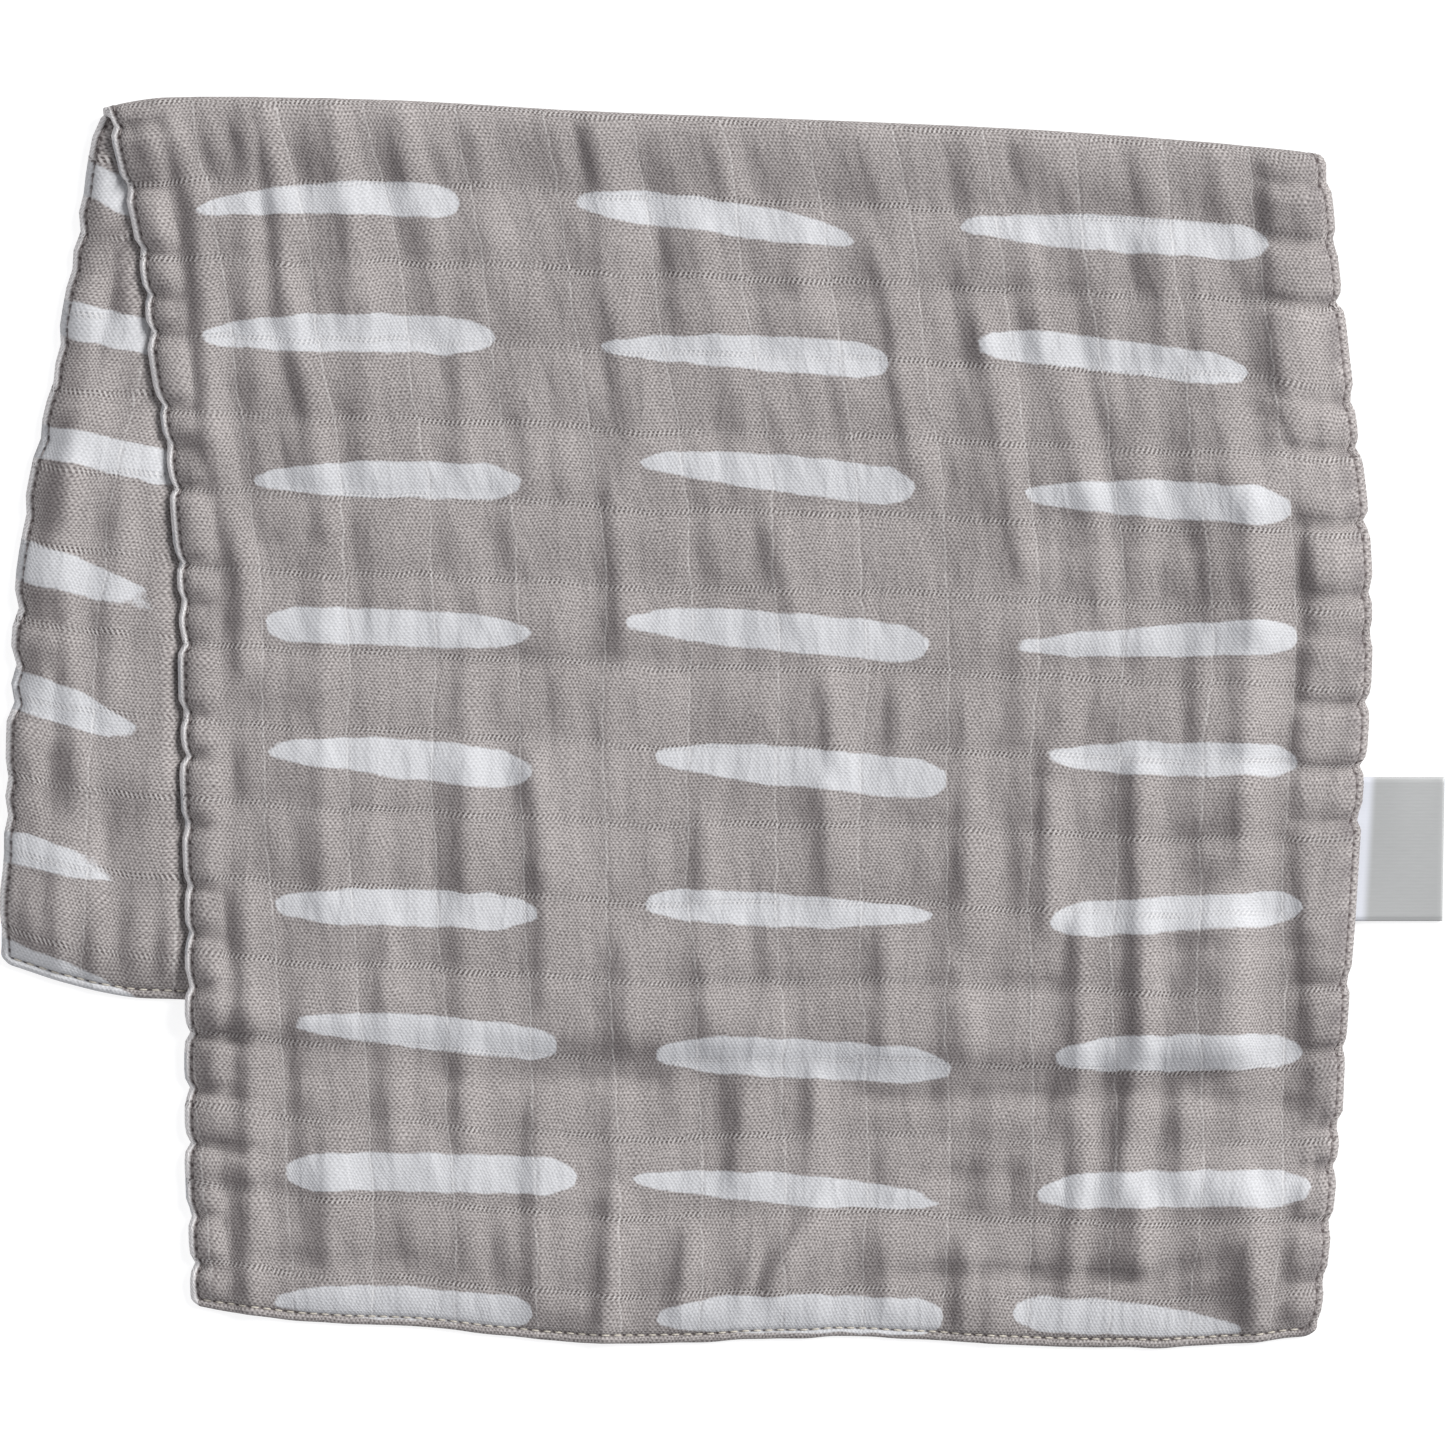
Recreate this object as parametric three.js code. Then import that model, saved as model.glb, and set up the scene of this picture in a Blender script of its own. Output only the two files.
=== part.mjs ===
// A muslin burp cloth, folded over once and lying flat, with a short woven label in its right-hand seam.
//
// Sizes are millimetres. +X runs to the right along the fold, +Y from the hems towards the fold, and +Z up.
// The cloth rests on Z = 0. The long front flap lies on the shorter back flap, which is swung a little to
// the left, and past the back flap's hidden edges the front flap drops to the surface.

import * as THREE from 'three';

// Driving dimensions
const SHEET_THICKNESS = 2.2;
const LAYER_GAP = 0.8;
const FOLD_RADIUS = 2.4;
const RIM_THICKNESS = 1.3;
const SEAM_WIDTH = 2.4;

// Where the front flap leaves the back flap: it clears the hidden edge by this much, then drops this far out.
const EDGE_CLEARANCE = 2;
const DROP_WIDTH = 11;
const FOLD_SWELL_LENGTH = 18;

// The strip of the back flap that lies open keeps its creases this far from the front flap's edge.
const STRIP_CLEARANCE = 4;
const STRIP_BLEND = 9;

const COLUMNS = 50;
const FRONT_ROWS = 28;
const FOLD_ROWS = 6;
const BACK_ROWS = 14;

const LABEL_TAPE = 0.5;
const LABEL_TAPE_GAP = 0.4;
const LABEL_TOP = -13;
const LABEL_LENGTH = 34.4;
const LABEL_TIP_X = 172.2;
const LABEL_TILT = THREE.MathUtils.degToRad(0.9);
const LABEL_SEAM_GAP = 0.4;
const LABEL_BEND_STEPS = 8;

// The corners' places along Y, on the left and right side edges.
const FOLD_CORNERS = { left: 146.8, right: 135.6 };
const FRONT_HEM_CORNERS = { left: -139.2, right: -146.3 };
const BACK_HEM_CORNERS = { left: -57.2, right: -75.9 };

// Side edges: the share of the way from the fold to the hem, and where the left and right edges lie in X.
const FRONT_SIDES = [
  { share: 0, left: -146.1, right: 143.7 },
  { share: 0.05, left: -142.7, right: 145.6 },
  { share: 0.1, left: -139.6, right: 147.0 },
  { share: 0.2, left: -136.1, right: 150.4 },
  { share: 0.3, left: -131.8, right: 153.7 },
  { share: 0.4, left: -129.6, right: 154.9 },
  { share: 0.55, left: -128.7, right: 152.3 },
  { share: 0.7, left: -127.7, right: 149.4 },
  { share: 0.85, left: -127.9, right: 146.6 },
  { share: 1, left: -126.4, right: 142.3 },
];
const BACK_SIDES = [
  { share: 0, left: -148.9, right: 140.9 },
  { share: 0.1, left: -152.8, right: 136.5 },
  { share: 0.2, left: -156.1, right: 132.5 },
  { share: 0.3, left: -159.5, right: 129.4 },
  { share: 0.4, left: -164.0, right: 127.0 },
  { share: 0.5, left: -167.4, right: 125.1 },
  { share: 0.65, left: -169.5, right: 122.2 },
  { share: 0.8, left: -170.9, right: 119.3 },
  { share: 1, left: -172.2, right: 115.3 },
];

// How far the fold and the hems bow out from the straight line between their corners.
const FOLD_BOW = [
  { share: 0, out: 0 },
  { share: 0.05, out: 2.6 },
  { share: 0.15, out: 3.7 },
  { share: 0.26, out: 4.1 },
  { share: 0.4, out: 3.3 },
  { share: 0.6, out: 3.3 },
  { share: 0.75, out: 3.0 },
  { share: 0.9, out: 1.7 },
  { share: 1, out: 0 },
];
const FRONT_HEM_BOW = [
  { share: 0, out: 0 },
  { share: 0.1, out: 3.1 },
  { share: 0.2, out: 3.6 },
  { share: 0.3, out: 5.7 },
  { share: 0.4, out: 6.3 },
  { share: 0.55, out: 3.6 },
  { share: 0.63, out: 3.3 },
  { share: 0.75, out: 4.3 },
  { share: 0.88, out: 3.6 },
  { share: 1, out: 0 },
];
const BACK_HEM_BOW = [
  { share: 0, out: 0 },
  { share: 0.05, out: 3.8 },
  { share: 0.1, out: 6.2 },
  { share: 0.15, out: 6.2 },
  { share: 0.3, out: 6.0 },
  { share: 0.5, out: 4.8 },
  { share: 0.75, out: 2.9 },
  { share: 1, out: 0 },
];

// Creases of the front flap: soft ridges from one point to another, with their half width and height.
const FRONT_CREASES = [
  { from: [-110, 148], to: [-104.5, 101], width: 4.5, height: 2.4 },
  { from: [-104.5, 101], to: [-95, 62], width: 4.5, height: 1.7 },
  { from: [-92.5, 146], to: [-88, 94], width: 4.5, height: 1.6 },
  { from: [-76.5, 146], to: [-70, 101], width: 5, height: 1.5 },
  { from: [-125, 125], to: [-121, 72], width: 4.5, height: 1.5 },
  { from: [-58, 144], to: [-43.5, 24], width: 6, height: 1.0 },
  { from: [-62.5, 79], to: [-59, -4], width: 5, height: 1.2 },
  { from: [-30.5, 141], to: [-19.5, 58], width: 5, height: 1.2 },
  { from: [0, 141], to: [18, 20], width: 5.5, height: 1.2 },
  { from: [33.5, 146], to: [45, 60], width: 5, height: 2.2 },
  { from: [60.5, 96], to: [71, 29], width: 5, height: 1.9 },
  { from: [71, 141], to: [85, 58], width: 5, height: 1.4 },
  { from: [98.5, 137], to: [111, 60], width: 5, height: 1.4 },
  { from: [117, 134], to: [125, 53], width: 5, height: 1.4 },
  { from: [125, 53], to: [125, -7], width: 5, height: 2.2 },
  { from: [137, 101], to: [142.5, 39], width: 6, height: 1.9 },
  { from: [142.5, 39], to: [141.5, -42], width: 6, height: 1.9 },
  { from: [-95.5, 53], to: [-95, -25], width: 5, height: 1.4 },
  { from: [-92, -50], to: [-91.5, -126], width: 5, height: 1.2 },
  { from: [-60.5, -80], to: [-58.5, -128], width: 5, height: 1.2 },
  { from: [-42.5, -19], to: [-42, -135], width: 5, height: 1.3 },
  { from: [-26, -110], to: [-26.5, -144], width: 4.5, height: 1.8 },
  { from: [-17.5, 10], to: [-16, -66], width: 6, height: 1.0 },
  { from: [27, 8], to: [28, -40], width: 5, height: 1.0 },
  { from: [57, 0], to: [62.5, -47], width: 5, height: 1.4 },
  { from: [77, -12], to: [78.5, -42], width: 4.5, height: 1.2 },
  { from: [97.5, -14], to: [99.5, -104], width: 5, height: 1.8 },
  { from: [122, -19], to: [122.5, -80], width: 4.5, height: 2.2 },
  { from: [125.5, -112], to: [126.5, -143], width: 4.5, height: 2.2 },
  { from: [-111.5, -74], to: [-111.5, -139], width: 5, height: 1.6 },
  { from: [23, -86], to: [23.5, -143], width: 5, height: 1.0 },
  { from: [83.5, -47], to: [84, -126], width: 5, height: 1.2 },
];

// Creases of the strip of back flap that shows at the left.
const BACK_CREASES = [
  { from: [-152, 72], to: [-157, -57], width: 5, height: 1.3 },
  { from: [-143, 90], to: [-144, -60], width: 5, height: 1.5 },
];

const CLOTH_MATERIAL = new THREE.MeshStandardMaterial({ color: 0xa0968f, roughness: 0.95, metalness: 0 });
const LABEL_MATERIAL = new THREE.MeshStandardMaterial({ color: 0xbec0be, roughness: 0.45, metalness: 0 });

const { lerp, smoothstep } = THREE.MathUtils;

// Reads a column of a table at any share, as a smooth curve through its rows.
function readTable(table, column, share) {
  let low = 0;
  while (low < table.length - 2 && table[low + 1].share < share) low += 1;
  const slopeBetween = (a, b) => (table[b][column] - table[a][column]) / (table[b].share - table[a].share);
  const slopeAt = (row) => slopeBetween(Math.max(row - 1, 0), Math.min(row + 1, table.length - 1));
  const span = table[low + 1].share - table[low].share;
  const t = (share - table[low].share) / span;
  const startWeight = (1 + 2 * t) * (1 - t) ** 2;
  const endWeight = t * t * (3 - 2 * t);
  const tangents = t * (1 - t) ** 2 * slopeAt(low) - t * t * (1 - t) * slopeAt(low + 1);
  return startWeight * table[low][column] + endWeight * table[low + 1][column] + span * tangents;
}

// One flap of the cloth, ruled between its two side edges, the fold and its hem.
class Flap {
  constructor(sides, hemCorners, hemBow, creases) {
    this.sides = sides;
    this.hemCorners = hemCorners;
    this.hemBow = hemBow;
    this.creases = creases;
  }

  sideX(side, down) {
    return readTable(this.sides, side, down);
  }

  hemY(across) {
    const chord = lerp(this.hemCorners.left, this.hemCorners.right, across);
    return chord - readTable(this.hemBow, 'out', across);
  }

  // The plan of the flap: across runs from the left edge to the right, down from the fold to the hem.
  plan(across, down, foldAxisY) {
    const x = lerp(this.sideX('left', down), this.sideX('right', down), across);
    const y = lerp(foldAxisY, this.hemY(across), down);
    return { x, y };
  }

  creaseHeight(x, y) {
    return this.creases.reduce((height, crease) => height + ridgeHeight(crease, x, y), 0);
  }
}

function ridgeHeight({ from, to, width, height }, x, y) {
  const run = [to[0] - from[0], to[1] - from[1]];
  const reach = [x - from[0], y - from[1]];
  const along = (reach[0] * run[0] + reach[1] * run[1]) / (run[0] ** 2 + run[1] ** 2);
  const nearest = Math.min(Math.max(along, 0), 1);
  const distance = Math.hypot(reach[0] - nearest * run[0], reach[1] - nearest * run[1]);
  return height * Math.exp(-((distance / width) ** 2));
}

const frontFlap = new Flap(FRONT_SIDES, FRONT_HEM_CORNERS, FRONT_HEM_BOW, FRONT_CREASES);
const backFlap = new Flap(BACK_SIDES, BACK_HEM_CORNERS, BACK_HEM_BOW, BACK_CREASES);

function foldOutlineY(across) {
  return lerp(FOLD_CORNERS.left, FOLD_CORNERS.right, across) + readTable(FOLD_BOW, 'out', across);
}

// How much of the front flap's height over the back flap is left at a point: 1 on it, 0 well outside it.
function supportAt(x, y) {
  const across = (x - backFlap.sideX('left', 1)) / (backFlap.sideX('right', 1) - backFlap.sideX('left', 1));
  const insideHem = y - backFlap.hemY(THREE.MathUtils.clamp(across, 0, 1));
  const foldY = FOLD_CORNERS.right;
  const down = (foldY - y) / (foldY - BACK_HEM_CORNERS.right);
  const insideSide = backFlap.sideX('right', THREE.MathUtils.clamp(down, 0, 1)) - x;
  const lowest = -EDGE_CLEARANCE - DROP_WIDTH;
  return smoothstep(insideHem, lowest, -EDGE_CLEARANCE) * smoothstep(insideSide, lowest, -EDGE_CLEARANCE);
}

// Middle of the front flap above the surface. Next to the fold it swells to the height of the turn.
function frontHeight(x, y, fromFold) {
  const support = supportAt(x, y) * (SHEET_THICKNESS + LAYER_GAP);
  const swell = 2 * FOLD_RADIUS - SHEET_THICKNESS - LAYER_GAP;
  const foldSwell = swell * (1 - smoothstep(fromFold, 0, FOLD_SWELL_LENGTH));
  return SHEET_THICKNESS / 2 + support + foldSwell + frontFlap.creaseHeight(x, y);
}

// Middle of the back flap: flat on the surface under the front flap, creased where it lies open.
function backHeight(x, y) {
  const down = (FOLD_CORNERS.left - y) / (FOLD_CORNERS.left - FRONT_HEM_CORNERS.left);
  const insideStrip = frontFlap.sideX('left', THREE.MathUtils.clamp(down, 0, 1)) - x;
  const open = smoothstep(insideStrip, STRIP_CLEARANCE, STRIP_CLEARANCE + STRIP_BLEND);
  return SHEET_THICKNESS / 2 + open * backFlap.creaseHeight(x, y);
}

// The turn at the fold for one place across it: its radius and the line it turns about.
function foldTurn(across) {
  const outlineY = foldOutlineY(across);
  const frontX = frontFlap.plan(across, 0, outlineY).x;
  const top = frontHeight(frontX, outlineY - FOLD_RADIUS, 0);
  const radius = (top - SHEET_THICKNESS / 2) / 2;
  return { radius, axisY: outlineY - SHEET_THICKNESS / 2 - radius };
}

function frontPoint(across, down) {
  const turn = foldTurn(across);
  const { x, y } = frontFlap.plan(across, down, turn.axisY);
  if (down === 0) return new THREE.Vector3(x, y, SHEET_THICKNESS / 2 + 2 * turn.radius);
  return new THREE.Vector3(x, y, frontHeight(x, y, turn.axisY - y));
}

function foldPoint(across, turned) {
  const turn = foldTurn(across);
  const angle = Math.PI * (1 - turned);
  const x = lerp(frontFlap.plan(across, 0, 0).x, backFlap.plan(across, 0, 0).x, turned);
  const y = turn.axisY + turn.radius * Math.sin(angle);
  return new THREE.Vector3(x, y, SHEET_THICKNESS / 2 + turn.radius * (1 - Math.cos(angle)));
}

function backPoint(across, down) {
  const { x, y } = backFlap.plan(across, down, foldTurn(across).axisY);
  return new THREE.Vector3(x, y, backHeight(x, y));
}

// Shares from 0 to 1 in even steps, with one more step a seam's width from each end that is asked for.
function spread(steps, seamShare, seamAtStart, seamAtEnd) {
  const shares = Array.from({ length: steps + 1 }, (_, step) => step / steps);
  if (seamAtStart) shares.splice(1, 0, seamShare);
  if (seamAtEnd) shares.splice(-1, 0, 1 - seamShare);
  return shares;
}

// The middle of the whole sheet as rows of points, from the front hem over the fold to the back hem.
function sheetMiddle() {
  const frontLength = FOLD_CORNERS.left - FRONT_HEM_CORNERS.left;
  const backLength = FOLD_CORNERS.left - BACK_HEM_CORNERS.left;
  const clothWidth = FRONT_SIDES.at(-1).right - FRONT_SIDES.at(-1).left;
  const columns = spread(COLUMNS, SEAM_WIDTH / clothWidth, true, true);
  const frontDowns = spread(FRONT_ROWS, SEAM_WIDTH / frontLength, false, true).reverse();
  const backDowns = spread(BACK_ROWS, SEAM_WIDTH / backLength, false, true);
  const turns = spread(FOLD_ROWS, 0, false, false).slice(1, -1);
  return [
    ...frontDowns.map((down) => columns.map((across) => frontPoint(across, down))),
    ...turns.map((turned) => columns.map((across) => foldPoint(across, turned))),
    ...backDowns.map((down) => columns.map((across) => backPoint(across, down))),
  ];
}

// The unit normal of the sheet at one grid point, from its neighbours.
function normalAt(rows, row, column) {
  const lastRow = rows.length - 1;
  const lastColumn = rows[0].length - 1;
  const before = rows[Math.max(row - 1, 0)][column];
  const after = rows[Math.min(row + 1, lastRow)][column];
  const left = rows[row][Math.max(column - 1, 0)];
  const right = rows[row][Math.min(column + 1, lastColumn)];
  const across = new THREE.Vector3().subVectors(right, left);
  const along = new THREE.Vector3().subVectors(after, before);
  return across.cross(along).normalize();
}

// Gives the sheet its thickness: two skins and a rim that closes them all round.
function thicken(rows) {
  const rowCount = rows.length;
  const columnCount = rows[0].length;
  const positions = [];
  for (const side of [1, -1]) {
    rows.forEach((points, row) => points.forEach((point, column) => {
      const atRim = row === 0 || row === rowCount - 1 || column === 0 || column === columnCount - 1;
      const half = (atRim ? RIM_THICKNESS : SHEET_THICKNESS) / 2;
      const moved = point.clone().addScaledVector(normalAt(rows, row, column), side * half);
      positions.push(moved.x, moved.y, moved.z);
    }));
  }
  const outer = (row, column) => row * columnCount + column;
  const inner = (row, column) => rowCount * columnCount + outer(row, column);
  const triangles = [];
  const addQuad = (a, b, c, d) => triangles.push(a, b, c, a, c, d);
  for (let row = 0; row < rowCount - 1; row += 1) {
    for (let column = 0; column < columnCount - 1; column += 1) {
      addQuad(outer(row, column), outer(row, column + 1), outer(row + 1, column + 1), outer(row + 1, column));
      addQuad(inner(row, column), inner(row + 1, column), inner(row + 1, column + 1), inner(row, column + 1));
    }
    const right = columnCount - 1;
    addQuad(outer(row, 0), outer(row + 1, 0), inner(row + 1, 0), inner(row, 0));
    addQuad(outer(row + 1, right), outer(row, right), inner(row, right), inner(row + 1, right));
  }
  for (let column = 0; column < columnCount - 1; column += 1) {
    const last = rowCount - 1;
    addQuad(outer(0, column + 1), outer(0, column), inner(0, column), inner(0, column + 1));
    addQuad(outer(last, column), outer(last, column + 1), inner(last, column + 1), inner(last, column));
  }
  const geometry = new THREE.BufferGeometry();
  geometry.setAttribute('position', new THREE.Float32BufferAttribute(positions, 3));
  geometry.setIndex(triangles);
  return geometry;
}

// The front flap's right edge at a height on the page, which the label's open end follows.
function rightEdgeX(y) {
  const down = (FOLD_CORNERS.right - y) / (FOLD_CORNERS.right - FRONT_HEM_CORNERS.right);
  return frontFlap.sideX('right', down);
}

// A satin tape folded double, its fold away from the cloth and its two ends at the seam.
function labelGeometry() {
  const outerRadius = LABEL_TAPE + LABEL_TAPE_GAP / 2;
  const innerRadius = LABEL_TAPE_GAP / 2;
  const middleY = LABEL_TOP - LABEL_LENGTH / 2;
  const seamX = rightEdgeX(middleY) + LABEL_SEAM_GAP;
  const bendX = LABEL_TIP_X - outerRadius;
  const profile = new THREE.Shape();
  profile.moveTo(seamX, 0);
  profile.lineTo(bendX, 0);
  profile.absarc(bendX, outerRadius, outerRadius, -Math.PI / 2, Math.PI / 2, false);
  profile.lineTo(seamX, 2 * outerRadius);
  profile.lineTo(seamX, 2 * outerRadius - LABEL_TAPE);
  profile.lineTo(bendX, 2 * outerRadius - LABEL_TAPE);
  profile.absarc(bendX, outerRadius, innerRadius, Math.PI / 2, -Math.PI / 2, true);
  profile.lineTo(seamX, LABEL_TAPE);
  profile.closePath();
  const options = { depth: LABEL_LENGTH, bevelEnabled: false, curveSegments: LABEL_BEND_STEPS };
  const geometry = new THREE.ExtrudeGeometry(profile, options);
  geometry.rotateX(Math.PI / 2);
  geometry.translate(0, LABEL_TOP, 0);
  layAlongSeam(geometry, seamX, bendX, middleY);
  return geometry;
}

// Tilts the tape a little on the surface and cuts its open end along the cloth's edge.
function layAlongSeam(geometry, seamX, bendX, middleY) {
  const position = geometry.getAttribute('position');
  for (let index = 0; index < position.count; index += 1) {
    const x = position.getX(index);
    const y = position.getY(index);
    const share = Math.min((x - seamX) / (bendX - seamX), 1);
    const followSeam = rightEdgeX(y) + LABEL_SEAM_GAP - seamX;
    const followTilt = (y - middleY) * Math.tan(LABEL_TILT);
    position.setX(index, x + lerp(followSeam, followTilt, share));
  }
}

const cloth = new THREE.Mesh(thicken(sheetMiddle()), CLOTH_MATERIAL);
cloth.name = 'cloth';

const label = new THREE.Mesh(labelGeometry(), LABEL_MATERIAL);
label.name = 'label';

// The origin is the middle of the footprint, at the surface that the cloth rests on.
const burpCloth = new THREE.Group();
burpCloth.add(cloth, label);
const bounds = new THREE.Box3().setFromObject(burpCloth, true);
const centre = bounds.getCenter(new THREE.Vector3());
burpCloth.position.set(-centre.x, -centre.y, -bounds.min.z);

export default burpCloth;
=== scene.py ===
# A muslin burp cloth, folded over once and lying on a pale surface, seen from straight above.
#
# The sheet is worked out in millimetres on the folds of its CAD solid and scaled to metres at the end.
# X runs to the right along the fold, Y from the hems towards the fold, Z up. "Across" and "down" are shares
# of a flap's width and length; "flat" places are millimetres on the cloth as it was cut.

import math
from collections import namedtuple

import bpy
import numpy as np
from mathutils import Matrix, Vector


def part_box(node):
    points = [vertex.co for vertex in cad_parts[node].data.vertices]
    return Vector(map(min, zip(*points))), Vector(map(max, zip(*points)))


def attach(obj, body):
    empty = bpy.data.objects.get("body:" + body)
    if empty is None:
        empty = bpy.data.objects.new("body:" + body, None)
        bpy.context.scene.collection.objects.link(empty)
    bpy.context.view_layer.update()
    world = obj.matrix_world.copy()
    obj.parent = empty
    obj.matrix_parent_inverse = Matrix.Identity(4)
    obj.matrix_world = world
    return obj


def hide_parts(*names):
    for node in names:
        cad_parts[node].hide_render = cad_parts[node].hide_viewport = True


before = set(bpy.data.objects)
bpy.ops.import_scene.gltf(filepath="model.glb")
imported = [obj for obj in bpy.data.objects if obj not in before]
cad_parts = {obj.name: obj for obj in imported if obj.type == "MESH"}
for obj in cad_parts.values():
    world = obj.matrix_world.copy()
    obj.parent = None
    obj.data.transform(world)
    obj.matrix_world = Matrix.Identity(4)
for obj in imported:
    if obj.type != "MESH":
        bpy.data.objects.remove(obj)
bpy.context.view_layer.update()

MM = 0.001


def rows(kind, *values):
    """A table: its rows take the names of their columns from the kind."""
    return tuple(kind(*value) for value in values)


# The sheet, as its CAD solid has it
CLOTH_WIDTH = 280.0
SHEET_THICKNESS = 2.2
LAYER_GAP = 0.8
FOLD_RADIUS = 2.4
EDGE_CLEARANCE = 2.0
DROP_WIDTH = 11.0
FOLD_SWELL_LENGTH = 18.0
STRIP_CLEARANCE = 0.2
STRIP_BLEND = 3.5
STRIP_LIFT = 0.65
STRIP_LIFT_REACH = 8.0
STRIP_SWELL = 0.7
STRIP_SWELL_REACH = 9.0
FRONT_LENGTH = 289.0
TURN_LENGTH = math.pi * FOLD_RADIUS
BACK_LENGTH = 206.0
CLOTH_LENGTH = FRONT_LENGTH + TURN_LENGTH + BACK_LENGTH
# The strip of the back flap that shows carries its own print, and the gauze lies stretched over the turn.
STRIP_WIDTH = 60.0
TURN_SLACK = 5.0

FOLD_CORNERS = (146.8, 135.6)

Side = namedtuple("Side", "share left right")
FRONT_SIDES = rows(
    Side,
    (0, -146.1, 143.7), (0.05, -142.7, 145.6), (0.1, -139.6, 147.0), (0.2, -136.1, 150.4),
    (0.3, -131.8, 153.7), (0.4, -129.6, 154.9), (0.55, -128.7, 152.3), (0.7, -127.7, 149.4),
    (0.85, -127.9, 146.6), (1, -126.4, 142.3),
)
BACK_SIDES = rows(
    Side,
    (0, -148.9, 140.9), (0.1, -152.8, 136.5), (0.2, -156.1, 132.5), (0.3, -159.5, 129.4),
    (0.4, -164.0, 127.0), (0.5, -167.4, 125.1), (0.65, -169.5, 122.2), (0.8, -170.9, 119.3),
    (1, -172.2, 115.3),
)

Bow = namedtuple("Bow", "share out")
FOLD_BOW = rows(
    Bow,
    (0, 0), (0.05, 2.6), (0.15, 3.7), (0.26, 4.1), (0.4, 3.3), (0.6, 3.3),
    (0.75, 3.0), (0.9, 1.7), (1, 0),
)
Hem = namedtuple("Hem", "left right bow")
FRONT_HEM = Hem(-139.2, -146.3, rows(
    Bow,
    (0, 0), (0.1, 3.1), (0.2, 3.6), (0.3, 5.7), (0.4, 6.3), (0.55, 3.6),
    (0.63, 3.3), (0.75, 4.3), (0.88, 3.6), (1, 0),
))
BACK_HEM = Hem(-57.2, -75.9, rows(
    Bow,
    (0, 0), (0.05, 3.8), (0.1, 6.2), (0.15, 6.2), (0.3, 6.0), (0.5, 4.8),
    (0.75, 2.9), (1, 0),
))

# The seam: a rolled bead outside a line of stitches, then a border that the seam allowance makes thicker.
STITCH_INSET = 2.1
WRAP_WIDTH = 0.75
Profile = namedtuple("Profile", "inset thickness")
SEAM_PROFILE = rows(
    Profile,
    (0, 0.5), (0.3, 1.35), (0.7, 1.9), (1.2, 2.1), (1.6, 1.7),
    (1.9, 0.95), (2.1, 0.75), (2.4, 1.15), (2.9, 1.9), (3.8, 2.4),
)
BORDER_EXTRA = 0.5
BORDER_STEP = 2.4
LEFT_BORDER = 12.5
FRONT_CORNER_RADII = (2.5, 4.5)
BACK_CORNER_RADII = (2.5, 2.5)
COLUMN_PITCH = 1.22
FRONT_ROW_PITCH = 2.25
BACK_ROW_PITCH = 4.6
TURN_ROWS = 10

# Rows and lines of tacks hold the gauze layers together, and the cloth puffs up between them.
TACK_ROW_PITCH = 18.7
TACK_ROW_START = 12.0
TACK_LINE_PITCH = 20.2
TACK_LINE_START = 0.0
PUFF_HEIGHT = 0.45
WRINKLE_PITCH = 4.7
WRINKLE_SLANT = 90
WRINKLE_HEIGHT = 1.15
LONG_WRINKLE_PITCH = 8.5
LONG_WRINKLE_SLANT = 120
LONG_WRINKLE_LENGTH = 52
LONG_WRINKLE_HEIGHT = 1.1
SWELL_HEIGHT = 1.6
LOFT_HEIGHT = 0.3
PUCKER_HEIGHT = 2.0
# How far the seams wave in and out, the gather at which a side seam keeps its place, and how far in it fades
SIDE_SCALLOP_DEPTH = 1.2
HEM_SCALLOP_DEPTH = 0.6
SCALLOP_MIDDLE = 0.7
SCALLOP_REACH = 6.0
# Between which insets from the edge each kind of relief rises, and what its noise makes of its height
PUFF_RISE = (1.5, 9.0)
SWELL_RISE = (2.0, 30.0)
LOFT_RISE = (4.0, 24.0)
PUFF_RANGE = (0.3, 1.7)
WRINKLE_RANGE = (0.35, 1.45)
# The noise's cells across and along the cloth, and its seed
Noise = namedtuple("Noise", "across along seed")
PUFF_NOISE = Noise(31, 27, 3)
SWELL_NOISE = Noise(36, 41, 13)
WRINKLE_NOISE = Noise(44, 38, 9)
# How strong the gathers are beside each seam, and between which insets they rise and end
LEFT_GATHERS = 1.2
RIGHT_GATHERS = (1.4, 0.9)
GATHER_START = (0.8, 2.6)
GATHER_END = (4.6, 10.5)
GATHER_EXTRA_REACH = 22.0
FULLEST_GATHER = 1.2

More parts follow.
